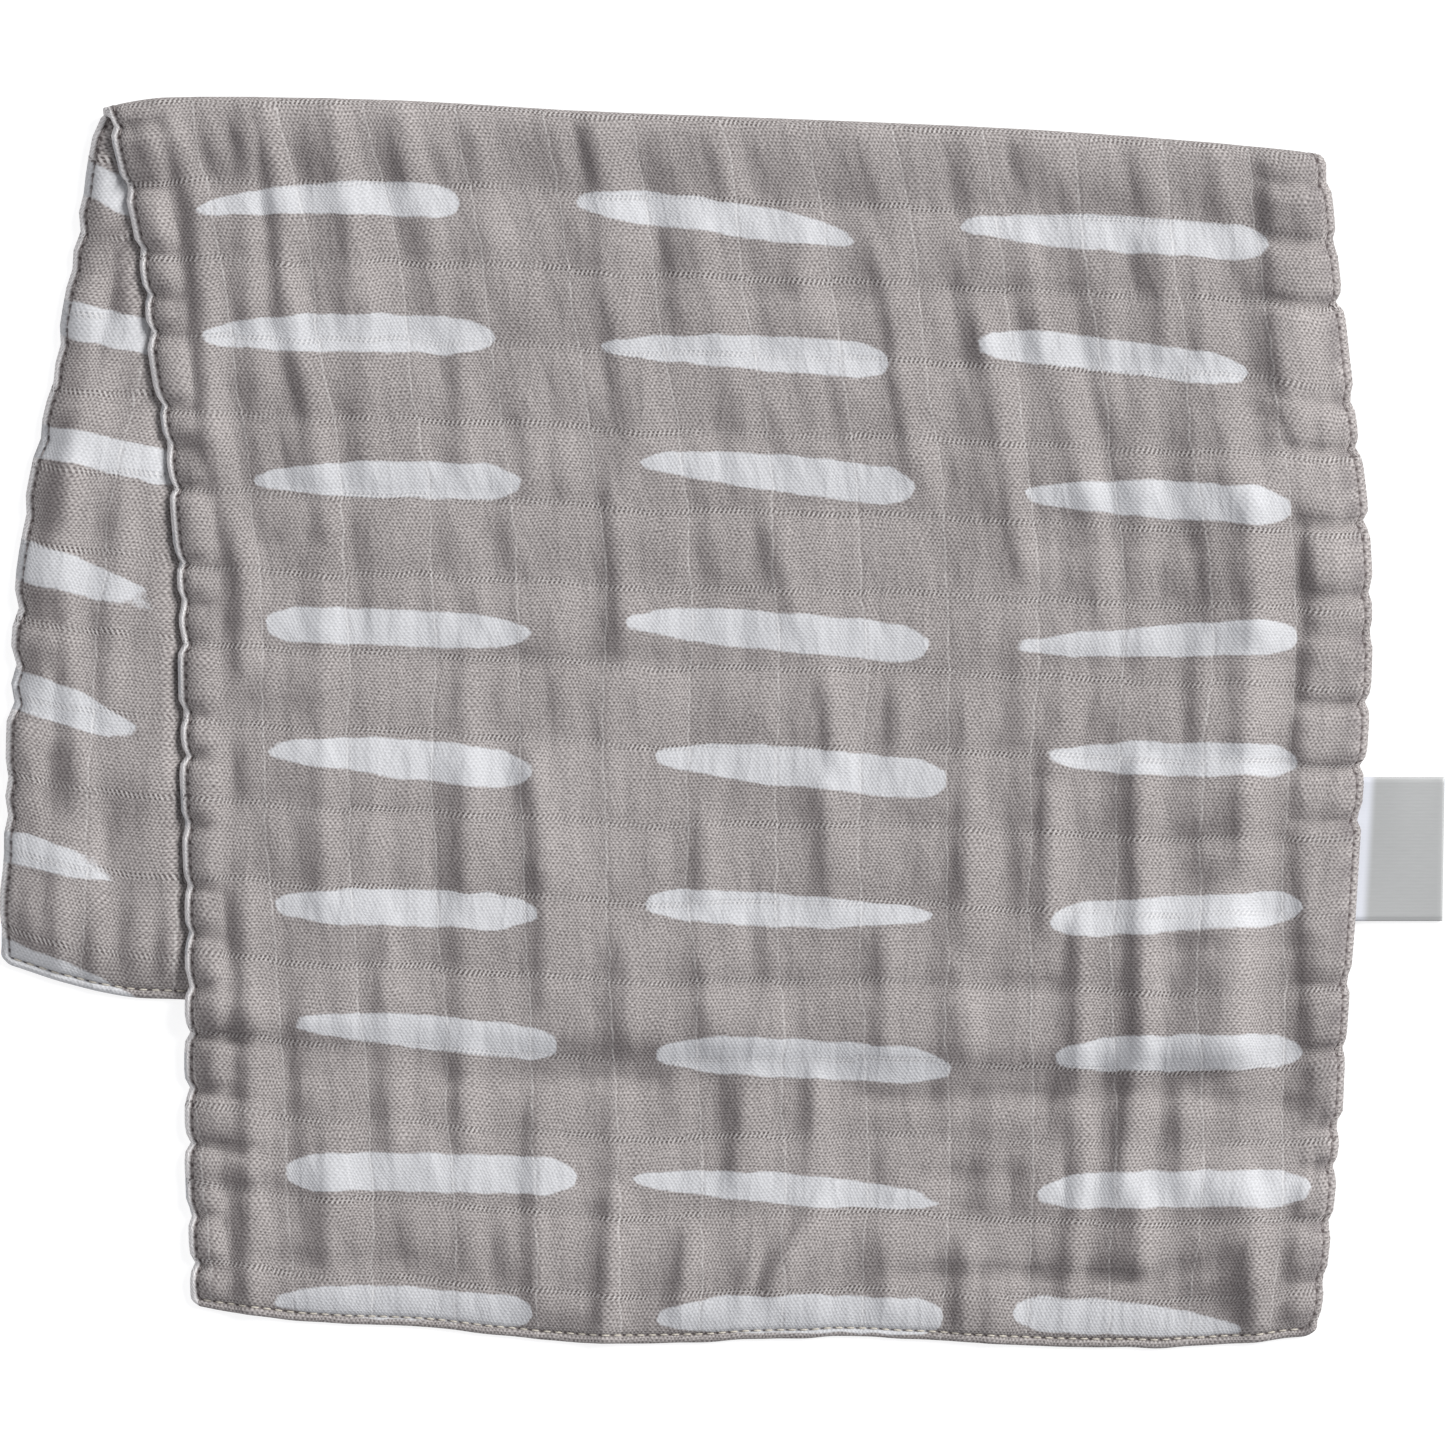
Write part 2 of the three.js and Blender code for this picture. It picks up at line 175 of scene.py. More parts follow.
# Creases: ridges along a crest line, most of them narrow on the left and broad on the right. Points are on
# the plan, "left" and "right" are how far each flank reaches, and a minus height is a trough.
Crease = namedtuple("Crease", "left right height points")
LEFT_CREASES = rows(
    Crease,
    (3.2, 4.5, 2.2, ((-132, 144), (-125.5, 121), (-124, 94), (-122, 67.5))),
    (2.6, 5.0, 1.3, ((-122, 67.5), (-116, 39))),
    (3.0, 4.0, 1.8, ((-114.5, 39), (-114, 29), (-114.6, 16))),
    (3.6, 5.0, 1.2, ((-114, -42), (-113, -69))),
    (3.2, 5.0, 2.2, ((-112.7, -71), (-113, -140))),
    (8.0, 3.0, 2.0, ((-113.5, 141), (-112.4, 99))),
    (4.4, 4.6, 2.6, ((-109, 145), (-106.4, 128))),
    (2.6, 4.6, 2.0, ((-105.7, 121), (-104, 99))),
    (5.0, 4.5, 2.0, ((-92.6, 145), (-91.4, 130))),
    (5.0, 4.5, 1.9, ((-89, 121), (-88.5, 101))),
    (4.0, 5.0, 2.0, ((-76, 147), (-74.7, 130))),
    (4.0, 5.0, 1.1, ((-71, 119), (-68, 101))),
    (4.0, 5.0, 1.3, ((-62.7, 89), (-61.5, 65))),
    (3.4, 5.0, 1.8, ((-101, 88), (-98.6, 79), (-96.6, 61.5))),
    (3.8, 4.0, 1.0, ((-85.4, 89), (-85, 65))),
    (4.0, 4.0, 1.1, ((-111, 89), (-110, 78))),
    (4.0, 5.0, 1.1, ((-94, 53), (-95.5, 42), (-95, 29))),
    (4.0, 5.0, 1.8, ((-95, 20), (-95, 1))),
    (3.6, 5.0, 1.6, ((-95, -9), (-95, -40))),
    (3.4, 5.0, 1.5, ((-61, -11), (-61.5, -38))),
    (3.6, 5.0, 1.4, ((-80, -50), (-80.4, -66))),
    (4.0, 5.0, 1.6, ((-79, -81), (-79, -97))),
    (4.0, 5.0, 1.1, ((-62, -52), (-61.7, -66))),
    (5.0, 5.0, 1.9, ((-61.5, -81), (-61.5, -97))),
    (3.4, 5.0, 1.5, ((-94, -112), (-94, -126))),
)
MIDDLE_CREASES = rows(
    Crease,
    (4.0, 5.0, 0.9, ((-59, 140), (-56.5, 113), (-54.5, 104))),
    (3.2, 5.0, 0.8, ((-47, 72), (-46.3, 48), (-43.5, 17))),
    (3.2, 5.0, 0.7, ((-31, 143), (-29, 110), (-20.5, 67))),
    (3.0, 5.0, 1.0, ((-27, 52), (-24, 24))),
    (3.0, 5.0, 0.6, ((-2.5, 139), (0.5, 126))),
    (3.0, 5.0, 0.8, ((-12, 113), (-9.5, 98))),
    (3.0, 5.0, 0.8, ((-6, 111), (5, 71))),
    (4.0, 5.0, 1.0, ((18, 104), (24, 93))),
    (3.0, 5.0, 1.0, ((9.5, 81), (14, 67))),
    (3.0, 5.0, 0.8, ((27, 82), (29.5, 65))),
    (4.0, 5.0, 1.3, ((12.5, 45), (16.4, 27))),
    (2.6, 6.0, 0.6, ((33.6, 140), (37.2, 125))),
    (2.8, 6.0, 1.6, ((36.7, 110), (40.7, 94), (41.4, 83), (44.6, 62))),
    (3.8, 5.0, 1.2, ((-61.5, 17), (-61.5, -2))),
    (3.2, 5.0, 1.8, ((-45, -12), (-43.4, -34))),
    (3.2, 5.0, 1.3, ((-43.2, -38), (-42.5, -64))),
    (4.0, 4.0, 1.4, ((-5, -26), (-4.7, -40))),
    (2.6, 5.0, 1.9, ((24.2, 8), (25.9, -6))),
    (2.8, 5.0, 1.3, ((23.5, -17), (26, -42))),
    (3.0, 5.0, 1.2, ((41, 4), (41, -6))),
    (5.5, 5.0, 1.6, ((-22.6, -54), (-22.8, -72))),
    (4.0, 5.0, 1.3, ((-4.6, -57), (-4.2, -70))),
    (3.0, 5.0, 1.3, ((38, -54), (38.4, -75))),
    (3.2, 5.0, 1.6, ((57.5, 2), (58, -50))),
    (3.0, 5.0, 1.1, ((56.7, -63), (57, -75))),
    (2.8, 4.6, 1.5, ((5.6, -86), (3.4, -106))),
    (2.8, 5.0, 1.4, ((21.6, -87), (21.2, -107))),
    (3.2, 5.0, 1.4, ((-44.5, -96), (-44.5, -135))),
    (3.4, 5.0, 1.2, ((-26.4, -90), (-26.3, -112))),
    (3.6, 5.0, 2.4, ((-26.5, -116), (-27.5, -133), (-28.8, -145))),
    (3.4, 4.0, 2.0, ((-8.2, -123), (-10.4, -138))),
    (2.4, 3.0, 1.2, ((6, -129), (4.4, -137))),
    (3.0, 4.0, 2.3, ((21.5, -117), (11.3, -133))),
    (2.8, 5.0, 1.2, ((38.8, -124), (38.8, -137))),
    (3.0, 5.0, 1.7, ((57.2, -127), (57.2, -142))),
    (2.8, 5.0, 1.3, ((64, -134), (63.6, -146))),
)
RIGHT_CREASES = rows(
    Crease,
    (2.4, 5.0, 0.8, ((71, 142), (73, 124))),
    (2.6, 5.0, 0.7, ((98, 138), (99.5, 127))),
    (2.6, 5.0, 0.8, ((117.4, 136), (119.3, 121))),
    (2.8, 5.0, 1.0, ((56, 113), (61.5, 91))),
    (3.1, 5.0, 1.6, ((61.5, 91), (67.5, 58), (70.6, 39))),
    (3.4, 5.0, 1.1, ((104, 114), (105, 90))),
    (3.0, 5.0, 1.0, ((113, 110), (114, 89))),
    (3.2, 4.0, 1.0, ((75, 99), (75.4, 90))),
    (3.0, 4.0, 1.0, ((92, 99), (92.3, 90))),
    (4.4, 5.0, 1.7, ((80, 82), (84.7, 57))),
    (5.0, 5.0, 1.4, ((98, 74), (98.3, 58))),
    (3.4, 5.0, 1.2, ((111, 81), (111.7, 61))),
    (4.4, 5.0, 1.8, ((117, 78), (120.5, 58))),
    (4.4, 5.0, 1.4, ((87.3, 52), (89.7, 29))),
    (5.0, 5.0, 1.1, ((99.3, 53), (100.2, 42))),
    (4.0, 5.0, 1.5, ((114.6, 47), (117, 27))),
    (6.0, 5.0, 3.1, ((124.6, 51), (126, 24))),
    (6.0, 5.0, 2.4, ((124.3, 12), (123.6, -3))),
    (5.0, 5.0, 2.6, ((123.6, -16), (123.6, -31))),
    (4.0, 5.0, 1.4, ((113, 10), (113.6, -31))),
    (3.0, 5.0, 2.1, ((77.3, -10), (77, -45))),
    (2.8, 5.0, 2.7, ((98.3, -12), (98.8, -45), (99.3, -75))),
    (3.6, 5.0, 3.1, ((97.4, -84), (95, -108))),
    (20.0, 5.0, 4.6, ((122.2, -50), (121.6, -76))),
    (5.0, 3.2, 2.1, ((84.7, -48), (85.2, -107), (82.5, -132))),
    (4.0, 5.0, 2.1, ((109.5, -93), (109.5, -107))),
    (9.0, 4.0, 3.1, ((99.3, -116), (98.8, -128))),
    (13.0, 5.0, 3.2, ((126.5, -114), (125.3, -133))),
    (3.0, 5.0, 2.0, ((125.3, -129), (126.5, -143))),
)
# The inner edge of the right border's padding, from the fold to the hem, as places on the plan
Edge = namedtuple("Edge", "x y")
RIGHT_BORDER_EDGE = rows(
    Edge,
    (131, 108), (132.5, 89), (136.3, 71), (138, 58), (140.6, 46), (141.3, 28),
    (139.6, 8), (138, -4), (137.8, -30), (140.2, -66), (141, -81), (139, -105),
    (136, -146),
)
BORDER_FLANK = 3.0
BORDER_CREASES = (Crease(4.4, 12.0, 0.9, RIGHT_BORDER_EDGE[:-2]),)
FRONT_CREASES = LEFT_CREASES + MIDDLE_CREASES + RIGHT_CREASES + BORDER_CREASES
# Cross creases press into the flap from above.
CROSS_CREASES = rows(
    Crease,
    (2.6, 2.2, -0.9, ((9, 101.5), (36, 101), (81, 102))),
    (2.4, 2.2, -0.6, ((-126, 78.5), (-111, 78.5))),
    (2.4, 2.2, -0.7, ((122, 74), (137, 71))),
    (2.6, 2.2, -0.7, ((-125, 42.5), (-94, 42.5))),
    (2.6, 2.2, -0.8, ((80, 42), (154, 42))),
    (2.4, 2.2, -0.7, ((-124, 22.5), (-113, 22.5))),
    (2.6, 2.2, -0.7, ((-66, 14.5), (-16, 14.5))),
    (2.6, 2.2, -0.9, ((79, 14.5), (138, 14.5))),
    (2.4, 2.2, -0.6, ((-124, 3.5), (-96, 3.5))),
    (2.6, 2.2, -0.9, ((80, -14), (124, -14))),
    (2.4, 2.2, -0.6, ((-89, -22), (-75, -22))),
    (2.6, 2.2, -0.9, ((104, -28), (136, -28))),
    (2.6, 2.2, -0.9, ((99, -53), (138, -53))),
    (2.6, 2.2, -0.8, ((-8, -63.5), (78, -63.5))),
    (2.4, 2.2, -1.1, ((-126, -85.5), (-95, -84))),
    (2.8, 2.4, -1.3, ((-64, -85.5), (-16, -86))),
    (2.8, 2.4, -1.5, ((36, -90), (85, -89.5))),
    (2.4, 2.2, -1.2, ((97, -89), (140, -92))),
    (2.6, 2.2, -1.3, ((50, -108.5), (68, -108))),
    (2.4, 2.2, -0.8, ((-32, -109.5), (-25, -109.5))),
    (2.4, 2.2, -0.8, ((-127, -110.5), (-113, -110.5))),
    (2.6, 2.2, -0.9, ((-108, -128), (-77, -128))),
    (2.8, 2.4, -1.8, ((43, -131.5), (98, -132))),
    (2.6, 2.2, -1.2, ((98, -132), (124, -128))),
)
BACK_CREASES = rows(
    Crease,
    (3.0, 4.0, 1.3, ((-141.6, 113), (-141.3, 98))),
    (3.6, 4.0, 1.4, ((-145.4, 89), (-149.2, 70))),
    (3.4, 4.0, 1.3, ((-155.4, 63), (-155.2, 41))),
    (3.6, 4.0, 1.3, ((-143.2, 64), (-142.8, 39))),
    (2.6, 4.0, 1.5, ((-156.6, 32), (-156, 10))),
    (3.0, 4.0, 1.0, ((-146.3, 29), (-146.3, 8))),
    (3.6, 4.0, 1.9, ((-154.2, 1), (-154, -12))),
    (2.6, 4.0, 1.6, ((-158.3, -34), (-158.3, -55))),
    (3.0, 4.0, 1.5, ((-150, -36), (-149.4, -58))),
    (2.4, 2.2, -0.8, ((-156, 108.5), (-141, 108.5))),
)
CREASE_FADE = 5.0
CREST_POWER = 1.2
CREASE_SCALE = 0.85
CREASE_REACH = 0.85

# Painted shade on the creases' flanks: between which slopes a flank is painted darker, and how much the
# slope up the page counts beside the one to the right
FLANK_SHADE_SLOPES = (-0.05, 0.5)
FLANK_SHADE_UP_PAGE = 0.7

# Where the side seams draw the front flap in, as places up the page, and how far apart tucks are elsewhere
LEFT_TUCKS = (
    -129, -117, -100, -87.5, -73.5, -62, -50, -38.5, -24, -7.5, 2.5, 19.5, 29, 39, 56.5, 66.5, 76.5, 93,
    102.5, 113, 128,
)
RIGHT_TUCKS = (
    -135.5, -125.5, -112, -98.5, -88, -69.5, -53, -13.5, -1, 14.5, 31, 41.5, 58, 76, 88, 111.5, 126,
)
TUCK_PITCH = 13.0
TUCK_WIDTH = 1.7
LIFTED_SEAM = 0.5

# Printed dashes, from tip to tip on the plan: how thick, over what length each end takes on that
# thickness, and how far the dash bows up.
Dash = namedtuple("Dash", "x0 y0 x1 y1 thick left_taper right_taper rise")
FRONT_DASHES = rows(
    Dash,
    (-125.1, 121.5, -62.5, 123.3, 8.2, 40, 6, 2.4),
    (-34.8, 123.9, 31.7, 114.6, 8.0, 16, 22, 1.0),
    (56.5, 118.1, 130.1, 113.6, 8.7, 32, 7, 0.5),
    (-124.1, 91.9, -53.9, 91.6, 9.2, 24, 12, 0.8),
    (-29.0, 89.2, 40.0, 85.4, 8.6, 40, 8, 0.8),
    (60.8, 90.2, 124.8, 82.5, 7.8, 10, 9, 0.8),
    (-111.0, 57.7, -47.7, 56.9, 8.7, 26, 9, 0.5),
    (-19.5, 62.2, 45.7, 55.5, 9.0, 34, 7, 0.5),
    (71.1, 54.3, 135.3, 50.8, 8.6, 32, 8, 0.5),
    (-108.8, 23.5, -45.3, 21.0, 8.4, 7, 16, 0.3),
    (-22.8, 24.2, 49.1, 18.0, 9.0, 26, 7, 0.6),
    (70.1, 18.0, 136.8, 20.4, 8.2, 48, 8, 0.2),
    (-108.1, -6.6, -45.0, -11.9, 9.2, 32, 9, 0.6),
    (-15.9, -8.0, 53.2, -14.5, 9.2, 24, 6, 0.6),
    (77.5, -8.2, 137.2, -9.2, 8.0, 20, 7, 0.1),
    (-106.7, -43.4, -43.4, -45.5, 8.7, 18, 12, 0.4),
    (-18.5, -42.6, 50.3, -46.0, 8.0, 10, 36, -0.5),
    (77.5, -47.4, 138.5, -43.8, 8.4, 10, 9, 0.1),
    (-101.7, -71.1, -39.3, -76.8, 8.0, 28, 6, 0.3),
    (-16.1, -78.5, 54.8, -82.1, 9.1, 16, 12, 0.4),
    (79.4, -79.4, 138.5, -78.4, 8.0, 12, 7, 0.7),
    (-104.0, -106.9, -34.8, -108.3, 9.0, 7, 8, 0.5),
    (-21.4, -108.8, 52.0, -114.3, 7.4, 34, 30, 0.4),
    (74.9, -112.2, 139.9, -111.2, 8.4, 10, 7, 0.7),
    (-107.4, -137.7, -45.3, -140.8, 7.8, 20, 5, 0.8),
    (-15.9, -141.8, 52.7, -142.0, 9.0, 18, 6, 0.9),
    (68.9, -140.4, 124.1, -144.7, 8.4, 8, 34, 0.4),
)
STRIP_DASHES = rows(
    Dash,
    (-166.0, 137.4, -130.0, 118.5, 7.6, 4, 6, 0.0),
    (-175.0, 100.5, -124.0, 88.5, 8.5, 4, 6, 0.2),
    (-180.0, 70.5, -126.0, 58.8, 8.2, 4, 8, 0.5),
    (-185.0, 43.7, -134.2, 28.0, 9.2, 4, 26, 0.8),
    (-186.0, 13.6, -138.8, -3.2, 9.2, 4, 20, 0.8),
    (-188.0, -25.6, -143.0, -36.8, 7.8, 4, 26, 0.4),
    (-188.0, -49.5, -140.0, -67.5, 8.2, 4, 16, 0.4),
)
DASH_END_POWER = 0.38
FAR_FROM_PRINT = 20.0
# The print repeats on the faces that no view from above shows. The seam's bead wraps a little of the
# underside's print round the front flap's left edge.
REPEAT_LENGTH = 65.0
REPEAT_SHIFT = 5.0
REPEAT_TILT = 1.6
REPEAT_TAPER = 24.0
REPEAT_THICKNESS = 8.6
OUTER_ROWS = (FRONT_LENGTH + 12.0, 34.2)
OUTER_COLUMNS = (42.0, 136.0, 232.0)
INNER_ROWS = (26.4, 31.5)
INNER_COLUMNS = (8.0, 100.0, 192.0)

STITCH_PITCH = 2.9
STITCH_LENGTH = 2.15
THREAD_SIDES = 6
StitchPart = namedtuple("StitchPart", "share thickness")
STITCH_SHAPE = rows(StitchPart, (0.0, 0.7), (0.18, 0.95), (0.5, 1.05), (0.82, 0.95), (1.0, 0.7))
# A thread's lifts are how far each part of a stitch lies above the cloth.
Thread = namedtuple("Thread", "radius lifts colours")
SIDE_THREAD = Thread(0.17, (-0.3, 0.0, 0.06, 0.0, -0.3), ((0.12, 0.10, 0.10, 1), (0.30, 0.27, 0.26, 1)))
HEM_THREAD = Thread(0.22, (-0.25, 0.1, 0.2, 0.1, -0.25), ((0.36, 0.33, 0.28, 1), (0.62, 0.58, 0.50, 1)))

LABEL_TOP = -13.0
LABEL_LENGTH = 34.4
LABEL_TIP_X = 172.2
LABEL_TILT = math.radians(0.9)
LABEL_TAPE = 0.42
LABEL_TAPE_LENGTH = 42.0
LABEL_TUCK = 1.6
LABEL_CLEARANCE = 0.05
LABEL_BEND_RADIUS = 0.42
LABEL_WAVE = 0.35
LABEL_SEAM_RISE = 0.25
LABEL_COLUMNS = 22
LABEL_BEND_STEPS = 8
LABEL_ROWS = 25

# The weave's repeat, two threads each way, and the pairs of holes that the tacks leave
WARP_REPEAT = 1.0
WEFT_REPEAT = 1.52
HOLE_PITCH = 1.09
HOLE_ROW_SPREAD = 0.42
TACK_STAGGER = 0.7
# How many millimetres one unit of the weave's coordinates spans
WEAVE_UNIT = 100.0

TAUPE_DEEP = (0.088, 0.077, 0.075, 1)
TAUPE_PALE = (0.468, 0.435, 0.421, 1)
WHITE_DEEP = (0.395, 0.397, 0.405, 1)
WHITE_PALE = (0.565, 0.568, 0.580, 1)
# Painted light on the left seam's bead, which faces away from the key light
BEAD_PAINTED_LIGHT = (0.86, 0.845, 0.84, 1)
HOLE_IN_TAUPE = (0.060, 0.048, 0.046, 1)
HOLE_IN_WHITE = (0.33, 0.33, 0.34, 1)
HOLE_STRENGTH = 0.75
SATIN_DEEP = (0.30, 0.305, 0.30, 1)
SATIN_PALE = (0.40, 0.405, 0.40, 1)
# A painted highlight on the satin tape beside the seam
SATIN_SEAM_HIGHLIGHT = (0.60, 0.615, 0.66, 1)
FLOOR_GREY = (0.34, 0.34, 0.34, 1)
Tint = namedtuple("Tint", "strength colour")
# Painted shade on the creases' flanks that face away from the key light, on the taupe and on the print
TAUPE_FLANK_SHADE = Tint(0.46, (0.085, 0.070, 0.072, 1))
WHITE_FLANK_SHADE = Tint(0.14, (0.25, 0.25, 0.27, 1))
# Painted shade in the gathers beside the right seam
SEAM_SHADE = Tint(0.42, (0.08, 0.068, 0.075, 1))
LINE_PALE = Tint(0.3, (0.70, 0.68, 0.66, 1))
LINE_DEEP = Tint(0.28, (0.10, 0.085, 0.082, 1))
BRIDGE_PALE = Tint(0.34, (0.62, 0.60, 0.585, 1))
STITCH_MARK = Tint(0.85, (0.040, 0.028, 0.028, 1))
SELVEDGE_PALE = Tint(0.35, (0.62, 0.62, 0.61, 1))

FLOOR_REACH = 6.0
Lamp = namedtuple("Lamp", "name place size power")
LAMPS = rows(Lamp, ("key", (4.1, 2.4, 3.1), 3.4, 510.0), ("fill", (-0.9, -0.2, 1.2), 1.2, 6.0))
WORLD_COLOUR = (0.96, 0.97, 1.05, 1)
WORLD_STRENGTH = 0.34
CAMERA_HEIGHT = 1600.0
VIEW_WIDTH = 345.2
SENSOR_WIDTH = 36.0
CAMERA_CLIP = 20.0


def smooth(value, low, high):
    share = np.clip((value - low) / (high - low), 0.0, 1.0)
    return share * share * (3 - 2 * share)


def lerp(a, b, share):
    return a + (b - a) * share


def read_table(table, column, share):
    """A column of a table as a smooth curve through its rows, the same curve as in the CAD source."""
    share = np.asarray(share, dtype=float)
    stops = np.array([row[0] for row in table], dtype=float)
    values = np.array([getattr(row, column) for row in table], dtype=float)
    low = np.clip(np.searchsorted(stops, share, side="left") - 1, 0, len(stops) - 2)
    before = np.maximum(np.arange(len(stops)) - 1, 0)
    after = np.minimum(np.arange(len(stops)) + 1, len(stops) - 1)
    slopes = (values[after] - values[before]) / (stops[after] - stops[before])
    span = stops[low + 1] - stops[low]
    t = (share - stops[low]) / span
    ends = (1 + 2 * t) * (1 - t) ** 2 * values[low] + t * t * (3 - 2 * t) * values[low + 1]
    return ends + span * (t * (1 - t) ** 2 * slopes[low] - t * t * (1 - t) * slopes[low + 1])


def value_noise(x, y, seed):
    """Smooth noise from 0 to 1 on a lattice of unit steps."""
    size = 128
    lattice = np.random.RandomState(seed).rand(size, size)
    column = np.floor(x).astype(int)
    row = np.floor(y).astype(int)
    fx = smooth(x - column, 0, 1)
    fy = smooth(y - row, 0, 1)

    def at(i, j):
        return lattice[(row + j) % size, (column + i) % size]

    return lerp(lerp(at(0, 0), at(1, 0), fx), lerp(at(0, 1), at(1, 1), fx), fy)


def line_noise(places, pitch, seed):
    """Smooth noise from 0 to 1 that changes along one direction alone."""
    return value_noise(places / pitch, np.full_like(places, 0.5), seed)


def crease_height(crease, x, y):
    """A ridge along a line of points, each flank with its own reach, fading out past its ends."""
    height = np.zeros(np.shape(x))
    for (x0, y0), (x1, y1) in zip(crease.points, crease.points[1:]):
        run_x, run_y = x1 - x0, y1 - y0
        length = math.hypot(run_x, run_y)
        along = ((x - x0) * run_x + (y - y0) * run_y) / length
        aside = ((x - x0) * run_y - (y - y0) * run_x) / length
        past = np.maximum(np.maximum(-along, along - length), 0)
        right = (np.maximum(-aside, 0) / (CREASE_REACH * crease.right)) ** 2
        left = (np.maximum(aside, 0) / (CREASE_REACH * crease.left)) ** CREST_POWER
        height = np.maximum(height, np.exp(-(right + left) - (past / CREASE_FADE) ** 2))
    return CREASE_SCALE * crease.height * height


def creases_height(creases, x, y):
    return sum(crease_height(crease, x, y) for crease in creases)


def hem_y(hem, across):
    return lerp(hem.left, hem.right, across) - read_table(hem.bow, "out", across)


def fold_outline_y(across):
    return lerp(FOLD_CORNERS[0], FOLD_CORNERS[1], across) + read_table(FOLD_BOW, "out", across)


def side_x(sides, across, down):
    return lerp(read_table(sides, "left", down), read_table(sides, "right", down), across)


def down_right_side(y, hem):
    """The share of a flap's length at which its right side is at a height on the plan."""
    return (FOLD_CORNERS[1] - y) / (FOLD_CORNERS[1] - hem.right)


def support_at(x, y):
    """How much of the height over the back flap the front flap keeps: 1 on it, 0 well outside it."""
    left, right = BACK_SIDES[-1].left, BACK_SIDES[-1].right
    inside_hem = y - hem_y(BACK_HEM, np.clip((x - left) / (right - left), 0, 1))
    inside_side = read_table(BACK_SIDES, "right", np.clip(down_right_side(y, BACK_HEM), 0, 1)) - x
    lowest = -EDGE_CLEARANCE - DROP_WIDTH
    return smooth(inside_hem, lowest, -EDGE_CLEARANCE) * smooth(inside_side, lowest, -EDGE_CLEARANCE)


def front_flap(across, down, relief, axis_y, start):
    """The front flap's points. Towards the fold its relief turns into the turn's own height, start."""
    x = side_x(FRONT_SIDES, across, down)
    y = lerp(axis_y, hem_y(FRONT_HEM, across), down)
    from_fold = axis_y - y
    swell = 2 * FOLD_RADIUS - SHEET_THICKNESS - LAYER_GAP
    height = SHEET_THICKNESS / 2 + support_at(x, y) * (SHEET_THICKNESS + LAYER_GAP)
    height = height + swell * (1 - smooth(from_fold, 0, FOLD_SWELL_LENGTH))
    raised = creases_height(FRONT_CREASES, x, y) + relief + creases_height(CROSS_CREASES, x, y)
    raised = lerp(np.maximum(raised, 0.0), start, 1 - smooth(from_fold, 0, FOLD_RADIUS))
    return np.stack([x, y, height + raised], axis=-1)


def fold_turn(across, turned, fold_x, axis_y, radius):
    """The turn's points, half a circle from the front flap down to the back one."""
    angle = math.pi * (1 - turned)
    x = lerp(fold_x, side_x(BACK_SIDES, across, 0.0), turned)
    y = axis_y + radius * np.sin(angle)
    z = SHEET_THICKNESS / 2 + radius * (1 - np.cos(angle))
    return np.stack([x, y, z], axis=-1)


def back_flap(across, down, relief, hem_inset, axis_y):
    """The back flap's points. It has its creases and relief in the strip that lies open."""
    x = side_x(BACK_SIDES, across, down)
    hem = hem_y(BACK_HEM, across)
    y = lerp(axis_y, hem, down)
    page = (FOLD_CORNERS[0] - y) / (FOLD_CORNERS[0] - FRONT_HEM.left)
    inside_strip = read_table(FRONT_SIDES, "left", np.clip(page, 0, 1)) - x
    open_strip = smooth(inside_strip, STRIP_CLEARANCE, STRIP_CLEARANCE + STRIP_BLEND)
    swollen = STRIP_SWELL * np.exp(-(np.maximum(inside_strip, 0) / STRIP_SWELL_REACH) ** 2)
    swollen = swollen * smooth(hem_inset, 2.0, 12.0)
    raised = creases_height(BACK_CREASES, x, y) + relief + swollen
    lift = STRIP_LIFT * smooth(inside_strip, -STRIP_LIFT_REACH, 0) * smooth(y - hem, 1, 9)
    return np.stack([x, y, SHEET_THICKNESS / 2 + lift + open_strip * raised], axis=-1)


def axis_places(length, pitch, seam_at_start, seam_at_end):
    """Places along a side of the grid: even steps, with the seam's own fine steps at the ends."""
    steps = np.array([row.inset for row in SEAM_PROFILE], dtype=float)
    start = steps if seam_at_start else np.array([0.0])
    end = length - steps[::-1] if seam_at_end else np.array([length])
    count = max(int(round((end[0] - start[-1]) / pitch)), 1)
    middle = np.linspace(start[-1], end[0], count + 1)[1:-1]
    return np.concatenate([start, middle, end])


def tuck_places(tucks):
    """The tucks of a side seam as flat places: the listed ones on the front flap, then uneven ones."""
    page = FOLD_CORNERS[0] - FOLD_RADIUS - FRONT_HEM.left
    listed = (np.array(tucks, dtype=float) - FRONT_HEM.left) / page * FRONT_LENGTH
    number = np.arange(1, math.ceil((CLOTH_LENGTH - listed[-1]) / TUCK_PITCH) + 2)
    others = listed[-1] + TUCK_PITCH * (number + 0.2 * np.sin(2.3 * number))
    return np.concatenate([[listed[0] - TUCK_PITCH], listed, others])


def unit_normals(points):
    normal = np.cross(np.gradient(points, axis=1), np.gradient(points, axis=0))
    return normal / np.linalg.norm(normal, axis=-1, keepdims=True)


